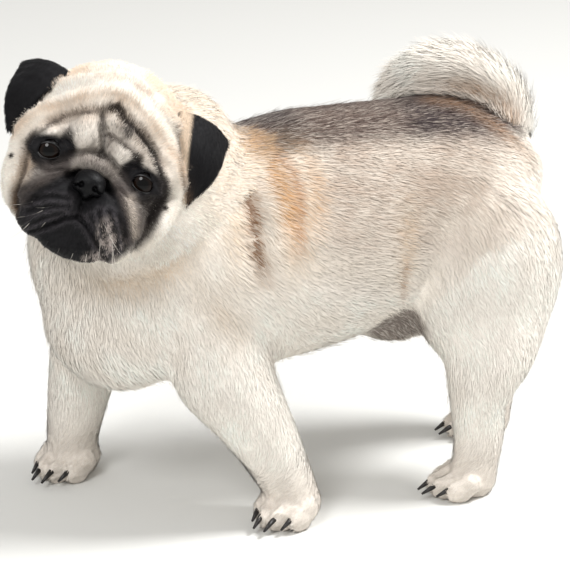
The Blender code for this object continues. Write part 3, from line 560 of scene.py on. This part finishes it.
def paint_ears(paint, near, parts, chance):
    """Black velvet, brown along the front edge and where the ears leave the skull."""
    ears = np.isin(parts, EARS) * 1.0
    left = parts == EARS[0]
    rooted = fade(near[:, 1], 62, 46) * fade(near[:, 2], 30, 46)
    paint(EAR_BLACK, ears * (1 - rooted * 0.5))
    edge = stroke(near, [(39, 27, 50), (52, 22, 24), (66, 22, -4)], 4.5)
    paint(EAR_EDGE, ears * edge, 0.25, 0.4)
    # The left ear's fawn front strip, and the black behind it
    down = (48 - near[:, 2]) / 52
    strip = left * fade(near[:, 0] - (52 + 14 * down), -2.5, 1.0) * fade(near[:, 1], 40, 46)
    paint("#D6C0A8", strip, 1.0, 0.3)
    paint(EAR_BLACK, left * fade(near[:, 0] - (41 + 21 * down), 0.0, 2.5))
    # A painted highlight along the line of the right ear's fold
    fold_highlight = stroke(near * (-1, 1, 1), [(47, 30, 44), (57, 28, 22), (67, 26, 4)], 1.8)
    paint("#6A625E", (parts == EARS[1]) * fold_highlight, 0.7, 0.4)


def coat_colour(spots, parts, chance):
    """The colour of the coat at places on the skin. Chance, from -1 to 1, makes one tuft unlike the next."""
    near = in_head_axes(spots)
    # Each tuft takes its colour from a little to one side, so that the edges of the markings are hairy
    flat = near[:, [0, 2]] + chance[:, None] * (1.1, 0.9)
    colour = np.tile(linear(CREAM), (len(spots), 1))

    def paint(code, share, strength=1, uneven=0):
        """Lays a share of a colour over the coat, made unlike from tuft to tuft by chance."""
        share = np.clip(share * (strength + uneven * chance), 0, 1)[:, None]
        colour[:] = colour * (1 - share) + linear(code) * share

    mottle = waves(spots * 1000 / 2, 11)
    paint_body(paint, spots * 1000, near, parts, chance, mottle)
    skull = (parts == HEAD) * 1.0
    inner = skull * fade(near[:, 1] - 16 * fade(near[:, 2], -24, -4), 30, 48)
    paint(FAWN, skull * fade(near[:, 1], 50, 15) * fade(near[:, 2], 20, -40), 0.30, 0.25)
    paint_brow(paint, flat, chance, inner)
    paint_mask(paint, near, flat, chance, inner)
    paint_creases(paint, near, flat, chance, inner, skull)
    for mole in ((-59, 10, -15), (54, 10, -14)):
        paint(CREASE, (parts < NECK) * fade(np.linalg.norm(near - mole, axis=1), 1.2, 3.0))
    paint_ears(paint, near, parts, chance)
    shade = 1 + (0.06 + 0.16 * inner) * chance + 0.03 * mottle
    return np.clip(colour * shade[:, None], 0.002, 0.9)


def add(tree, kind, settings=(), links=()):
    """Adds a node with its settings, and links it from other nodes' outputs."""
    made = tree.nodes.new("ShaderNode" + kind)
    for name, value in dict(settings).items():
        if name in made.inputs:
            made.inputs[name].default_value = value
        else:
            setattr(made, name, value)
    for name, source in dict(links).items():
        tree.links.new(source, made.inputs[name])
    return made


def texture(tree, kind, **settings):
    """A texture node laid by the object's own places."""
    return add(tree, kind, settings, {"Vector": add(tree, "TexCoord").outputs["Object"]})


def bumpy(tree, shader, height, **settings):
    """Makes a shader's surface rise and fall with another node's output."""
    bump = add(tree, "Bump", settings, {"Height": height})
    tree.links.new(bump.outputs["Normal"], shader.inputs["Normal"])


def new_material(name, roughness, code=None, **inputs):
    """A material with one Principled shader, plain if given a colour, and its tree and shader."""
    made = bpy.data.materials.new(name)
    made.use_nodes = True
    shader = made.node_tree.nodes["Principled BSDF"]
    shader.inputs["Roughness"].default_value = roughness
    if code:
        shader.inputs["Base Color"].default_value = (*linear(code), 1)
    for key, value in inputs.items():
        shader.inputs[key.replace("_", " ")].default_value = value
    return made, made.node_tree, shader


# Skin under short fur: dull, and broken by the lie of hair about a millimetre apart
hide, tree, shader = new_material("hide_under_fur", 0.72, Specular_IOR_Level=0.25)
tint = add(tree, "Attribute", {"attribute_name": "coat"})
grain = texture(tree, "TexNoise", Scale=900, Detail=3)
darker = add(tree, "MapRange", {"From Min": 0.3, "From Max": 0.7, "To Min": 0.84, "To Max": 1.0},
             {"Value": grain.outputs["Fac"]})
mixed = add(tree, "VectorMath", {"operation": "SCALE"},
            {"Vector": tint.outputs["Color"], "Scale": darker.outputs["Result"]})
tree.links.new(mixed.outputs["Vector"], shader.inputs["Base Color"])
bumpy(tree, shader, grain.outputs["Fac"], Strength=0.35, Distance=0.0006)
skin.data.materials.append(hide)


def tint_points(mesh, colours):
    """Keeps a colour at each point of a mesh, for its material to read."""
    layer = mesh.color_attributes.new("coat", "FLOAT_COLOR", "POINT")
    layer.data.foreach_set("color", np.column_stack([colours, np.ones(len(colours))]).ravel())


tint_points(skin.data, coat_colour(points, part, np.zeros(len(points))))
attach(skin, "root")
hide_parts(*FLESH)


# Eyes
# Large dark brown eyes that bulge between black lids, each one ball that shines as if wet. The rims of the
# lids are bare black skin.
EYE_RADIUS = 11.5
# A wet cornea: mirror smooth, over a near black pupil, a dark brown ring of iris and its black edge
wet_eye, tree, shader = new_material("wet_dark_eye", 0.02, IOR=1.38, Specular_IOR_Level=0.3)
from_axis = add(tree, "Attribute", {"attribute_name": "from_axis"})
rings = add(tree, "ValToRGB", links={"Fac": from_axis.outputs["Fac"]})
stops = ((0.0, "#020202"), (0.27, "#020202"), (0.34, "#0C0604"), (0.47, "#180D07"), (0.57, "#0C0604"),
         (0.62, "#050404"), (0.70, "#0E0A09"))
for number, (place, code) in enumerate(stops):
    stop = rings.color_ramp.elements[number] if number < 2 else rings.color_ramp.elements.new(place)
    stop.position = place
    stop.color = (*linear(code), 1)
tree.links.new(rings.outputs["Color"], shader.inputs["Base Color"])
# Bare lid skin: black and a little moist
lid_skin = new_material("bare_lid_skin", 0.32, "#0D0C0E", Specular_IOR_Level=0.5)[0]
for side, name in ((1, "eye_left"), (-1, "eye_right")):
    ball = bmesh.new()
    bmesh.ops.create_uvsphere(ball, u_segments=48, v_segments=32, radius=EYE_RADIUS)
    bmesh.ops.rotate(ball, verts=ball.verts, matrix=turned(90, "X"))
    away = [math.hypot(v.co.x, v.co.z) / EYE_RADIUS if v.co.y < 0 else 1.0 for v in ball.verts]
    bmesh.ops.translate(ball, verts=ball.verts, vec=(side * EYE_OUT, 0.2, 0))
    bmesh.ops.transform(ball, verts=ball.verts, matrix=head_axes)
    mesh = mesh_of(ball, name + "_ball")
    mesh.attributes.new("from_axis", "FLOAT", "POINT").data.foreach_set("value", away)
    mesh.materials.append(wet_eye)
    mesh.shade_smooth()
    eye = placed(name + "_ball", mesh)
    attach(eye, "root")
    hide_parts(name)

    # The rim of the lids: a ring spun round the eye, drawn out to its corners and laid on the ball
    rim = bmesh.new()
    start = bmesh.ops.create_circle(rim, segments=10, radius=0.09, matrix=Matrix.Translation((1, 0, 0))
                                    @ turned(90, "X"))["verts"]
    bmesh.ops.spin(rim, geom=start + rim.edges[:], cent=(0, 0, 0), axis=(0, 0, 1), angle=math.tau, steps=48,
                   use_merge=True)
    for vertex in rim.verts:
        angle = math.atan2(vertex.co.y, vertex.co.x)
        out = math.hypot(vertex.co.x, vertex.co.y) - 1
        wide = LID_WIDE + 10 * out
        high = (6.2 if vertex.co.y > 0 else 5.8) * (1 - 0.10 * math.cos(angle) ** 2) + 10 * out
        x, z = wide * math.cos(angle), high * math.sin(angle)
        deep = math.sqrt(EYE_RADIUS ** 2 - x * x - z * z) + 0.2 + 10 * vertex.co.z
        vertex.co = Vector((side * (EYE_OUT + x), 0.2 - deep, z - 0.06 * x))
    bmesh.ops.transform(rim, verts=rim.verts, matrix=head_axes)
    bmesh.ops.recalc_face_normals(rim, faces=rim.faces)
    mesh = mesh_of(rim, name + "_lid_rim")
    mesh.shade_smooth()
    mesh.materials.append(lid_skin)
    lids = placed(name + "_lid_rim", mesh)
    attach(lids, "root")


# Nose
# Moist black leather between the eyes, pebbled, with two open nostrils and the slit below each. Its shape is
# that of its solid, with the edges softened.
nose_mesh = bmesh.new()
nose_mesh.from_mesh(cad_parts["nose"].data)
bmesh.ops.remove_doubles(nose_mesh, verts=nose_mesh.verts, dist=WELD)
nose = placed("nose_leather", mesh_of(nose_mesh, "nose_leather"))
modify(nose, "REMESH", mode="VOXEL", voxel_size=0.0006)
modify(nose, "SMOOTH", iterations=3)
apply_modifiers(nose)
nose.data.shade_smooth()
# Nose leather: black pebbles about 0.8 mm across, a little moist
leather, tree, shader = new_material("nose_leather", 0.45, "#060608", Specular_IOR_Level=0.15)
pebbles = texture(tree, "TexVoronoi", Scale=1300)
bumpy(tree, shader, pebbles.outputs["Distance"], Strength=0.55, Distance=0.0003, invert=True)
nose.data.materials.append(leather)
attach(nose, "root")
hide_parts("nose")


# Claws
# Short, thick, black claws, four on each paw, tilted down and worn blunt at the tips. They come out of the
# toes where the solids were pushed back for them.
CLAW_LONG, CLAW_THICK, CLAW_TIP = 0.0118, 0.0023, 0.0008
claws = bmesh.new()
for values in PAWS.values():
    for place in toe_places(*values):
        made = bmesh.ops.create_cone(claws, cap_ends=True, segments=12, radius1=CLAW_THICK, radius2=CLAW_TIP,
                                     depth=CLAW_LONG)["verts"]
        tilt = Matrix.Translation((0, -0.0128, -0.0010)) @ turned(120, "X")
        bmesh.ops.transform(claws, verts=made, matrix=place @ tilt)
mesh = mesh_of(claws, "claws")
mesh.shade_smooth()
# Claw horn: black and half glossy, with a fine unevenness
horn, tree, shader = new_material("claw_horn", 0.42, "#1A1716", Specular_IOR_Level=0.5)
grain = texture(tree, "TexNoise", Scale=700, Detail=2)
bumpy(tree, shader, grain.outputs["Fac"], Strength=0.3, Distance=0.0002)
mesh.materials.append(horn)
claw_set = placed("claws", mesh)
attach(claw_set, "root")


# Coat
# Short, close fur in tufts a third of a millimetre to a millimetre across, each a thin closed spindle rooted
# in the skin. It lies back from the nose, down the neck and legs and along the trunk, and is longest on the
# tail.
TAIL_COURSE = np.array([(5, 160, 222), (5, 175, 246), (2, 181, 271), (-3, 176, 294), (-9, 155, 312),
                        (-23, 132, 314), (-40, 116, 301), (-57, 111, 283), (-70, 116, 266), (-77, 124, 256)],
                       float)
# How the coat lies: a place and a direction, in the dog's millimetres
BODY_LIE = np.array([
    ((0, -60, 300), (0, 1, -0.1)), ((0, 50, 300), (0, 1, 0)), ((0, 150, 285), (0, 1, -0.25)),
    ((0, 212, 215), (0, 0.2, -1)), ((80, 50, 210), (0.1, 1, -0.35)), ((-80, 50, 210), (-0.1, 1, -0.35)),
    ((60, 50, 262), (0.2, 1, -0.25)), ((-60, 50, 262), (-0.2, 1, -0.25)),
    ((84, -40, 215), (0, 0.7, -0.7)), ((70, -50, 255), (0.2, 0.8, -0.6)), ((78, -90, 225), (0, 0.5, -0.85)),
    ((60, -130, 200), (0.1, 0.3, -0.95)), ((20, -175, 180), (0.1, 0, -1)), ((-40, -170, 200), (0, 0.1, -1)),
    ((30, -140, 125), (0, 0.6, -0.8)), ((0, 50, 118), (0, 1, 0)), ((35, 76, 125), (0, 0.7, -0.7)),
    ((85, 130, 190), (0, 0.45, -0.9)), ((-85, 130, 190), (0, 0.45, -0.9)), ((70, 205, 190), (0, 0.3, -1)),
    ((72, 150, 80), (0, 0.1, -1)), ((-60, 175, 80), (0, 0.1, -1)), ((80, -45, 105), (0, 0.15, -1)),
    ((-70, -145, 90), (0, 0.1, -1)), ((-105, -80, 215), (-0.1, 0.6, -0.8)),
    ((-80, -120, 240), (-0.1, 0.5, -0.8)), ((-50, -150, 262), (-0.6, 0.5, -0.6)),
    ((-10, -90, 318), (-0.5, 0.8, -0.2)), ((60, -30, 275), (0.2, 0.9, -0.4)),
    ((72, -36, 12), (0.5, -0.7, -0.4)), ((-62, -172, 12), (0.5, -0.7, -0.4)),
    ((61, 108, 12), (0, -0.9, -0.4)), ((-42, 162, 12), (0, -0.9, -0.4)),
], float)
# The same on the head, in its own millimetres, mirrored to the right
HEAD_LIE = [((0, -5, 5), (0, 0.1, 1)), ((15, 5, 20), (0.3, 0.1, 1)), ((3, 10, 40), (0.05, 0.4, 1)),
            ((0, 45, 68), (0, 1, 0)), ((35, 40, 55), (0.4, 1, 0)), ((0, 90, 45), (0, 1, -0.3)),
            ((30, 0, -14), (1, 0.4, -0.3)), ((34, 0, 12), (0.7, 0.3, 0.6)),
            ((50, 20, -20), (0.5, 0.8, -0.5)),
            ((52, 20, 12), (0.8, 0.6, 0.1)), ((62, 45, -5), (0.2, 1, -0.4)),
            ((18, -12, -26), (0.9, 0.2, -0.6)),
            ((32, 0, -50), (0.4, 0.5, -0.8)), ((0, -10, -60), (0, 0.6, -0.8)), ((0, 30, -68), (0, 1, -0.2)),
            ((3, -18, -26), (0.3, 0.1, -1)), ((40, 35, -52), (0.2, 0.9, -0.5))]
HEAD_LIE += [((-a[0], a[1], a[2]), (-b[0], b[1], b[2])) for a, b in HEAD_LIE if a[0] > 1]
HEAD_LIE = np.array(HEAD_LIE, float)


def unit(rows):
    """Each row drawn to a length of one."""
    return rows / np.maximum(np.linalg.norm(rows, axis=1, keepdims=True), 1e-9)


def blended(spots, guides, reach):
    """The direction at each spot, blended from the guides near it."""
    total = np.zeros_like(spots)
    for place, way in guides:
        share = 1 / (np.sum((spots - place) ** 2, axis=1) + reach ** 2) ** 2
        total += share[:, None] * way
    return unit(total)


def lie_of(spots, parts):
    """The way the coat lies at each root, before it is laid on the skin."""
    mm = spots * 1000
    way = blended(mm, BODY_LIE, 12)
    near = in_head_axes(spots)
    on_skull = parts == HEAD
    behind = fade(near[:, 1], 72, 48)[on_skull][:, None]
    on_face = blended(near[on_skull], HEAD_LIE, 5) @ head_turn.T
    way[on_skull] = unit(way[on_skull] * behind + (1 - behind) * on_face)
    ears = np.isin(parts, EARS)
    down = np.array([0.15, -0.1, -1.0])
    up = np.array([0.1, -0.6, 0.8])
    behind = fade(near[:, 1], 52, 40)[:, None]
    way[ears] = unit((1 - behind) * down + behind * up)[ears] @ head_turn.T
    tails = parts >= TAIL_FROM
    middle = (TAIL_COURSE[1:] + TAIL_COURSE[:-1]) / 2
    way[tails] = blended(mm[tails], list(zip(middle, np.diff(TAIL_COURSE, axis=0))), 5)
    return way


skin.data.calc_loop_triangles()
corners = rows_of(skin.data.loop_triangles, "vertices", 3)
a, b, c = (points[corners[:, i]] for i in range(3))
area = np.linalg.norm(np.cross(b - a, c - a), axis=1) / 2
middle = (a + b + c) / 3
zone_part = part[corners[:, 0]]
near = in_head_axes(middle)
# No tuft grows on the eyeballs or under the feet
bare = (zone_part == HEAD) & (near[:, 1] < 8) & (near_eye(near) < 1.02)
bare |= middle[:, 2] < 0.0012
on_face = (zone_part == HEAD) & (near[:, 1] < 34)
on_body = zone_part == TORSO
behind_shoulder = on_body & (middle[:, 1] >= -0.03)
on_left = middle[:, 0] >= 0
# Each area of the coat: where it is, how many tufts, their width and lift from the skin, and the finish
ZONES = {
    "coat_face": (on_face, 33000, 0.34, 15, "black_velvet"),
    "coat_crown": ((zone_part == HEAD) & ~on_face, 30000, 0.60, 9, "fawn_coat"),
    "coat_ears": (np.isin(zone_part, EARS), 15000, 0.36, 13, "black_velvet"),
    "coat_neck": (zone_part == NECK, 16000, 0.75, 9, "fawn_coat"),
    "coat_chest": (on_body & ~behind_shoulder, 32000, 0.72, 8, "cream_coat"),
    "coat_left_side": (behind_shoulder & on_left, 33000, 0.72, 7, "cream_coat"),
    "coat_right_side": (behind_shoulder & ~on_left, 22000, 0.80, 8, "cream_coat"),
    "coat_hind_legs": (np.isin(zone_part, HIND_LEGS), 27000, 0.70, 7, "cream_coat"),
    "coat_forelegs": (np.isin(zone_part, FORE_LEGS), 17000, 0.62, 7, "cream_coat"),
    "coat_paws": (np.isin(zone_part, ALL_PAWS), 9000, 0.45, 12, "cream_coat"),
    "coat_tail": (zone_part >= TAIL_FROM, 18000, 0.72, 15, "cream_coat"),
}


def unwrap(name, chosen):
    """Thins and unwraps the skin under one area of coat. Gives its tree, its corners and their UVs."""
    bed = bmesh.new()
    bed.from_mesh(skin.data)
    inside = np.zeros(len(points), bool)
    inside[corners[chosen].ravel()] = True
    bmesh.ops.delete(bed, geom=[v for v in bed.verts if not inside[v.index]], context="VERTS")
    made = placed(name + "_bed", mesh_of(bed, name + "_bed"))
    modify(made, "DECIMATE", ratio=min(1, 2500 / max(len(made.data.polygons), 1)),
           use_collapse_triangulate=True)
    apply_modifiers(made)
    bpy.context.view_layer.objects.active = made
    made.select_set(True)
    bpy.ops.object.mode_set(mode="EDIT")
    bpy.ops.mesh.select_all(action="SELECT")
    bpy.ops.uv.smart_project(angle_limit=math.radians(66), island_margin=0.003)
    bpy.ops.object.mode_set(mode="OBJECT")
    mesh = made.data
    mesh.calc_loop_triangles()
    verts = rows_of(mesh.loop_triangles, "vertices", 3)
    loops = rows_of(mesh.loop_triangles, "loops", 3)
    flat = rows_of(mesh.uv_layers.active.data, "uv", 2, float)
    spots = places_of(mesh)
    tree = BVHTree.FromPolygons(spots.tolist(), verts.tolist())
    bpy.data.objects.remove(made, do_unlink=True)
    return tree, spots[verts], flat[loops]


def patches(roots, bed):
    """The place of each root on the unwrap."""
    tree, spots, flat = bed
    hits = [tree.find_nearest(root) for root in roots.tolist()]
    at = np.array([hit[0][:] for hit in hits])
    tri = np.array([hit[2] for hit in hits])
    a, b, c = spots[tri, 0], spots[tri, 1], spots[tri, 2]
    whole = np.maximum(np.linalg.norm(np.cross(b - a, c - a), axis=1), 1e-15)
    wa = np.linalg.norm(np.cross(b - at, c - at), axis=1) / whole
    wb = np.linalg.norm(np.cross(c - at, a - at), axis=1) / whole
    wc = np.clip(1 - wa - wb, 0, 1)
    uv = flat[tri, 0] * wa[:, None] + flat[tri, 1] * wb[:, None] + flat[tri, 2] * wc[:, None]
    return np.clip(uv, 0.002, 0.998)


# Fur: fine hair gathered in tufts, dull with a soft sheen along its edges. A tuft stands for many hairs, and
# is drawn much wider than one so that it shows.
fur, tree, shader = new_material("short_fur", 0.62, Specular_IOR_Level=0.14, Sheen_Weight=0.05)
tint = add(tree, "Attribute", {"attribute_name": "coat"})
tree.links.new(tint.outputs["Color"], shader.inputs["Base Color"])

# A tuft has five points: its root, a ring of three at its knee, and its tip. There are far too many tufts
# for mesh operators, so their points and faces are laid out together.
TUFT_FACES = np.array([(2, 1, 0), (3, 2, 0), (1, 3, 0), (1, 2, 4), (2, 3, 4), (3, 1, 4)])
TUFT_PATCH = np.array([(-0.0015, 0), (0, 0.0015), (0, -0.0015), (0.0005, 0), (0.0015, 0)])
TUFT_TONE = np.array([0.94, 1, 1, 1, 1.03])
LONG_LOOSE, LITTLE_LOOSE = ("coat_tail",), ("coat_face", "coat_ears", "coat_paws")
draw = np.random.default_rng(7)
for name, (chosen, count, wide, lift, slot) in ZONES.items():
    chosen = np.nonzero(chosen & ~bare)[0]
    # Roots, spread evenly over the area
    summed = np.cumsum(area[chosen])
    step = (np.arange(count) + draw.random(count)) / count * summed[-1]
    pick = chosen[np.minimum(np.searchsorted(summed, step), len(chosen) - 1)]
    u, v = draw.random(count), draw.random(count)
    u, v = np.where(u + v > 1, 1 - u, u), np.where(u + v > 1, 1 - v, v)
    shares = np.column_stack([1 - u - v, u, v])
    tri = corners[pick]
    roots = np.sum(points[tri] * shares[:, :, None], axis=1)
    out = unit(np.sum(normals[tri] * shares[:, :, None], axis=1))
    parts = part[tri[:, 0]]
    # The lie of each tuft, with clumps that swing together
    way = lie_of(roots, parts)
    way = unit(way - out * np.sum(way * out, axis=1)[:, None])
    side = np.cross(way, out)
    mm = roots * 1000
    clump = waves(mm, 3)
    swing = draw.normal(0, 0.12, count) + 0.12 * clump
    way = way * np.cos(swing)[:, None] + side * np.sin(swing)[:, None]
    side = np.cross(way, out)
    # Its size and lift, with a share of loose tufts that stand out a little
    size = np.minimum(length[tri].mean(axis=1), 3 + mm[:, 2] * 0.12)
    size = size * (0.75 + 0.5 * draw.random(count)) / 1000
    breadth = wide / 1000 * (0.7 + 0.6 * draw.random(count))
    rise = np.radians(lift) * (0.7 + 0.6 * draw.random(count) + 0.15 * clump)
    loose_share, loose_lift = (0.30, 0.65) if name in LONG_LOOSE else (0.09, 0.42)
    loose = draw.random(count) < loose_share * (0.3 if name in LITTLE_LOOSE else 1)
    rise += np.where(loose, loose_lift * draw.random(count), 0)
    size *= np.where(loose, 1.12, 1)
    breadth *= np.where(loose, 0.7, 1)
    tip_rise = rise * 0.8
    base = roots - out * 0.0004
    bent = rise * 1.25
    knee = roots + size[:, None] * 0.42 * (np.cos(bent)[:, None] * way + np.sin(bent)[:, None] * out)
    tip = roots + size[:, None] * (np.cos(tip_rise)[:, None] * way + np.sin(tip_rise)[:, None] * out)
    over = np.cross(unit(tip - base), side)
    ring = []
    for turn in (math.radians(90), math.radians(210), math.radians(330)):
        ring.append(knee + side * breadth[:, None] * 0.5 * math.cos(turn)
                    + over * breadth[:, None] * 0.16 * math.sin(turn))
    tufts = np.stack([base, *ring, tip], axis=1)
    tufts[:, :, 2] = np.maximum(tufts[:, :, 2], 0.0002)
    chance = draw.random(count) * 2 - 1
    colours = coat_colour(roots, parts, chance)
    colours = np.clip(colours[:, None, :] * TUFT_TONE[None, :, None], 0, 0.92).reshape(-1, 3)
    faces = (np.arange(count)[:, None, None] * 5 + TUFT_FACES[None]).reshape(-1)
    mesh = bpy.data.meshes.new(name)
    mesh.vertices.add(count * 5)
    mesh.vertices.foreach_set("co", tufts.ravel())
    mesh.loops.add(len(faces))
    mesh.loops.foreach_set("vertex_index", faces)
    mesh.polygons.add(len(faces) // 3)
    mesh.polygons.foreach_set("loop_start", np.arange(0, len(faces), 3))
    mesh.update(calc_edges=True)
    tint_points(mesh, colours)
    # Each tuft is a small patch at its root's place on the unwrap of the skin
    uv = patches(roots, unwrap(name, chosen))
    uv = (uv[:, None, None, :] + TUFT_PATCH[TUFT_FACES][None]).reshape(-1, 2)
    mesh.uv_layers.new(name="OFBake").data.foreach_set("uv", uv.ravel())
    mesh.shade_smooth()
    # Each tuft catches the light as the hide under it does, a little to one side or the other
    leaning = unit(out + side * (0.6 * swing + 0.12 * (2 * draw.random(count) - 1))[:, None] - 0.1 * way)
    mesh.normals_split_custom_set_from_vertices(np.repeat(leaning, 5, axis=0))
    mesh.materials.append(fur)
    coat = placed(name, mesh)
    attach(coat, "root")


# Whiskers
# Stiff single hairs on the lips, the chin and the brows, ten to a side, each a thin bent tube that thins to
# its tip.

# Root on the face (left, up), the way it grows (left, forward, up), length and bend, all in millimetres
WHISKERS = (
    ((24, -38), (0.7, 0.3, -0.7), 20, 45), ((28, -44), (0.5, 0.3, -1), 22, 45),
    ((30, -50), (0.4, 0.2, -1), 20, 45), ((20, -46), (0.3, 0.5, -1), 18, 40),
    ((33, -36), (0.8, 0.1, -0.6), 20, 45), ((18, -32), (0.6, 0.7, -0.4), 16, 40),
    ((24, 16), (0.3, 0.5, 1), 13, 35), ((30, 15), (0.5, 0.4, 0.9), 12, 35),
    ((14, -58), (0.2, 0.4, -1), 15, 40), ((5, -60), (0, 0.4, -1), 14, 40),
)
WHISKER_RADIUS = 0.16
whiskers = bmesh.new()
for side in (1, -1):
    for (x, z), (left, forward, up), long, bend in WHISKERS:
        start = head_axes @ Vector((side * x, -80, z))
        root = skin_tree.ray_cast(start, (head_axes.to_3x3() @ Vector((0, 1, 0))).normalized())[0]
        others = set(whiskers.verts)
        ring = bmesh.ops.create_circle(whiskers, segments=5, radius=WHISKER_RADIUS)["verts"]
        edges_of_ring = list({edge for vertex in ring for edge in vertex.link_edges})
        bmesh.ops.spin(whiskers, geom=ring + edges_of_ring, cent=(0, bend, 0), axis=(1, 0, 0),
                       angle=-long / bend, steps=8)
        tube = [vertex for vertex in whiskers.verts if vertex not in others]
        for vertex in tube:
            angle = math.atan2(vertex.co.z, bend - vertex.co.y)
            middle_of_ring = Vector((0, bend - bend * math.cos(angle), bend * math.sin(angle)))
            thin_by = 1 - 0.85 * abs(angle) * bend / long
            vertex.co = middle_of_ring + (vertex.co - middle_of_ring) * thin_by
        grows = head_axes.to_3x3() @ Vector((side * left, -forward, up))
        aim = grows.to_track_quat("Z", "Y").to_matrix().to_4x4()
        place = Matrix.Translation(root) @ aim @ Matrix.Scale(0.001, 4)
        bmesh.ops.transform(whiskers, verts=tube, matrix=place)
bmesh.ops.recalc_face_normals(whiskers, faces=whiskers.faces)
mesh = mesh_of(whiskers, "whiskers")
mesh.shade_smooth()
# Whisker hair: stiff and glossy, some of it black and some white
bristle, tree, shader = new_material("whisker_hair", 0.4)
patchy = texture(tree, "TexNoise", Scale=60)
tones = add(tree, "ValToRGB", links={"Fac": patchy.outputs["Fac"]})
tones.color_ramp.elements[0].position, tones.color_ramp.elements[1].position = 0.45, 0.55
tones.color_ramp.elements[0].color = (*linear("#1B1817"), 1)
tones.color_ramp.elements[1].color = (*linear("#D9D2C8"), 1)
tree.links.new(tones.outputs["Color"], shader.inputs["Base Color"])
mesh.materials.append(bristle)
whisker_set = placed("whiskers", mesh)
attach(whisker_set, "root")


# Floor, lamps and camera
# A pale studio floor, a large soft lamp behind on the dog's back, a fill from the front, and the camera
# at the photograph's place, two metres off and 20 degrees up.
floor_mesh = bmesh.new()
bmesh.ops.create_grid(floor_mesh, x_segments=1, y_segments=1, size=4)
floor = placed("floor", mesh_of(floor_mesh, "floor"))
# Studio paper: plain, pale and matt
floor.data.materials.append(new_material("studio_paper", 0.85, "#D8D8D5")[0])
floor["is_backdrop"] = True


def lamp(name, power, size, place, target=(0, 0, 0.17)):
    """A round soft lamp, turned to the middle of the dog."""
    light = bpy.data.lights.new(name, "AREA")
    light.energy = power
    light.size = size
    light.shape = "DISK"
    made = bpy.data.objects.new(name, light)
    made.location = place
    made.rotation_euler = (Vector(target) - Vector(place)).to_track_quat("-Z", "Y").to_euler()
    bpy.context.scene.collection.objects.link(made)


lamp("key", 60, 0.7, (0.3, 1.3, 1.9))
lamp("fill", 36, 1.0, (1.5, -1.5, 2.1))
world = bpy.data.worlds.new("studio")
bpy.context.scene.world = world
world.use_nodes = True
world.node_tree.nodes["Background"].inputs["Color"].default_value = (1, 0.985, 0.965, 1)
world.node_tree.nodes["Background"].inputs["Strength"].default_value = 0.68
bpy.context.scene.view_settings.view_transform = "Standard"

AZIMUTH, ELEVATION, DISTANCE = math.radians(72), math.radians(20), 2.0
AIM = Vector((0.0035, 0.0025, 0.163))
away = Vector((math.sin(AZIMUTH) * math.cos(ELEVATION), -math.cos(AZIMUTH) * math.cos(ELEVATION),
               math.sin(ELEVATION)))
camera = bpy.data.objects.new("camera", bpy.data.cameras.new("camera"))
camera.data.sensor_width = 36
camera.data.lens = 168
camera.location = AIM + away * DISTANCE
camera.rotation_euler = (-away).to_track_quat("-Z", "Y").to_euler()
bpy.context.scene.collection.objects.link(camera)
bpy.context.scene.camera = camera

low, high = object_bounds()
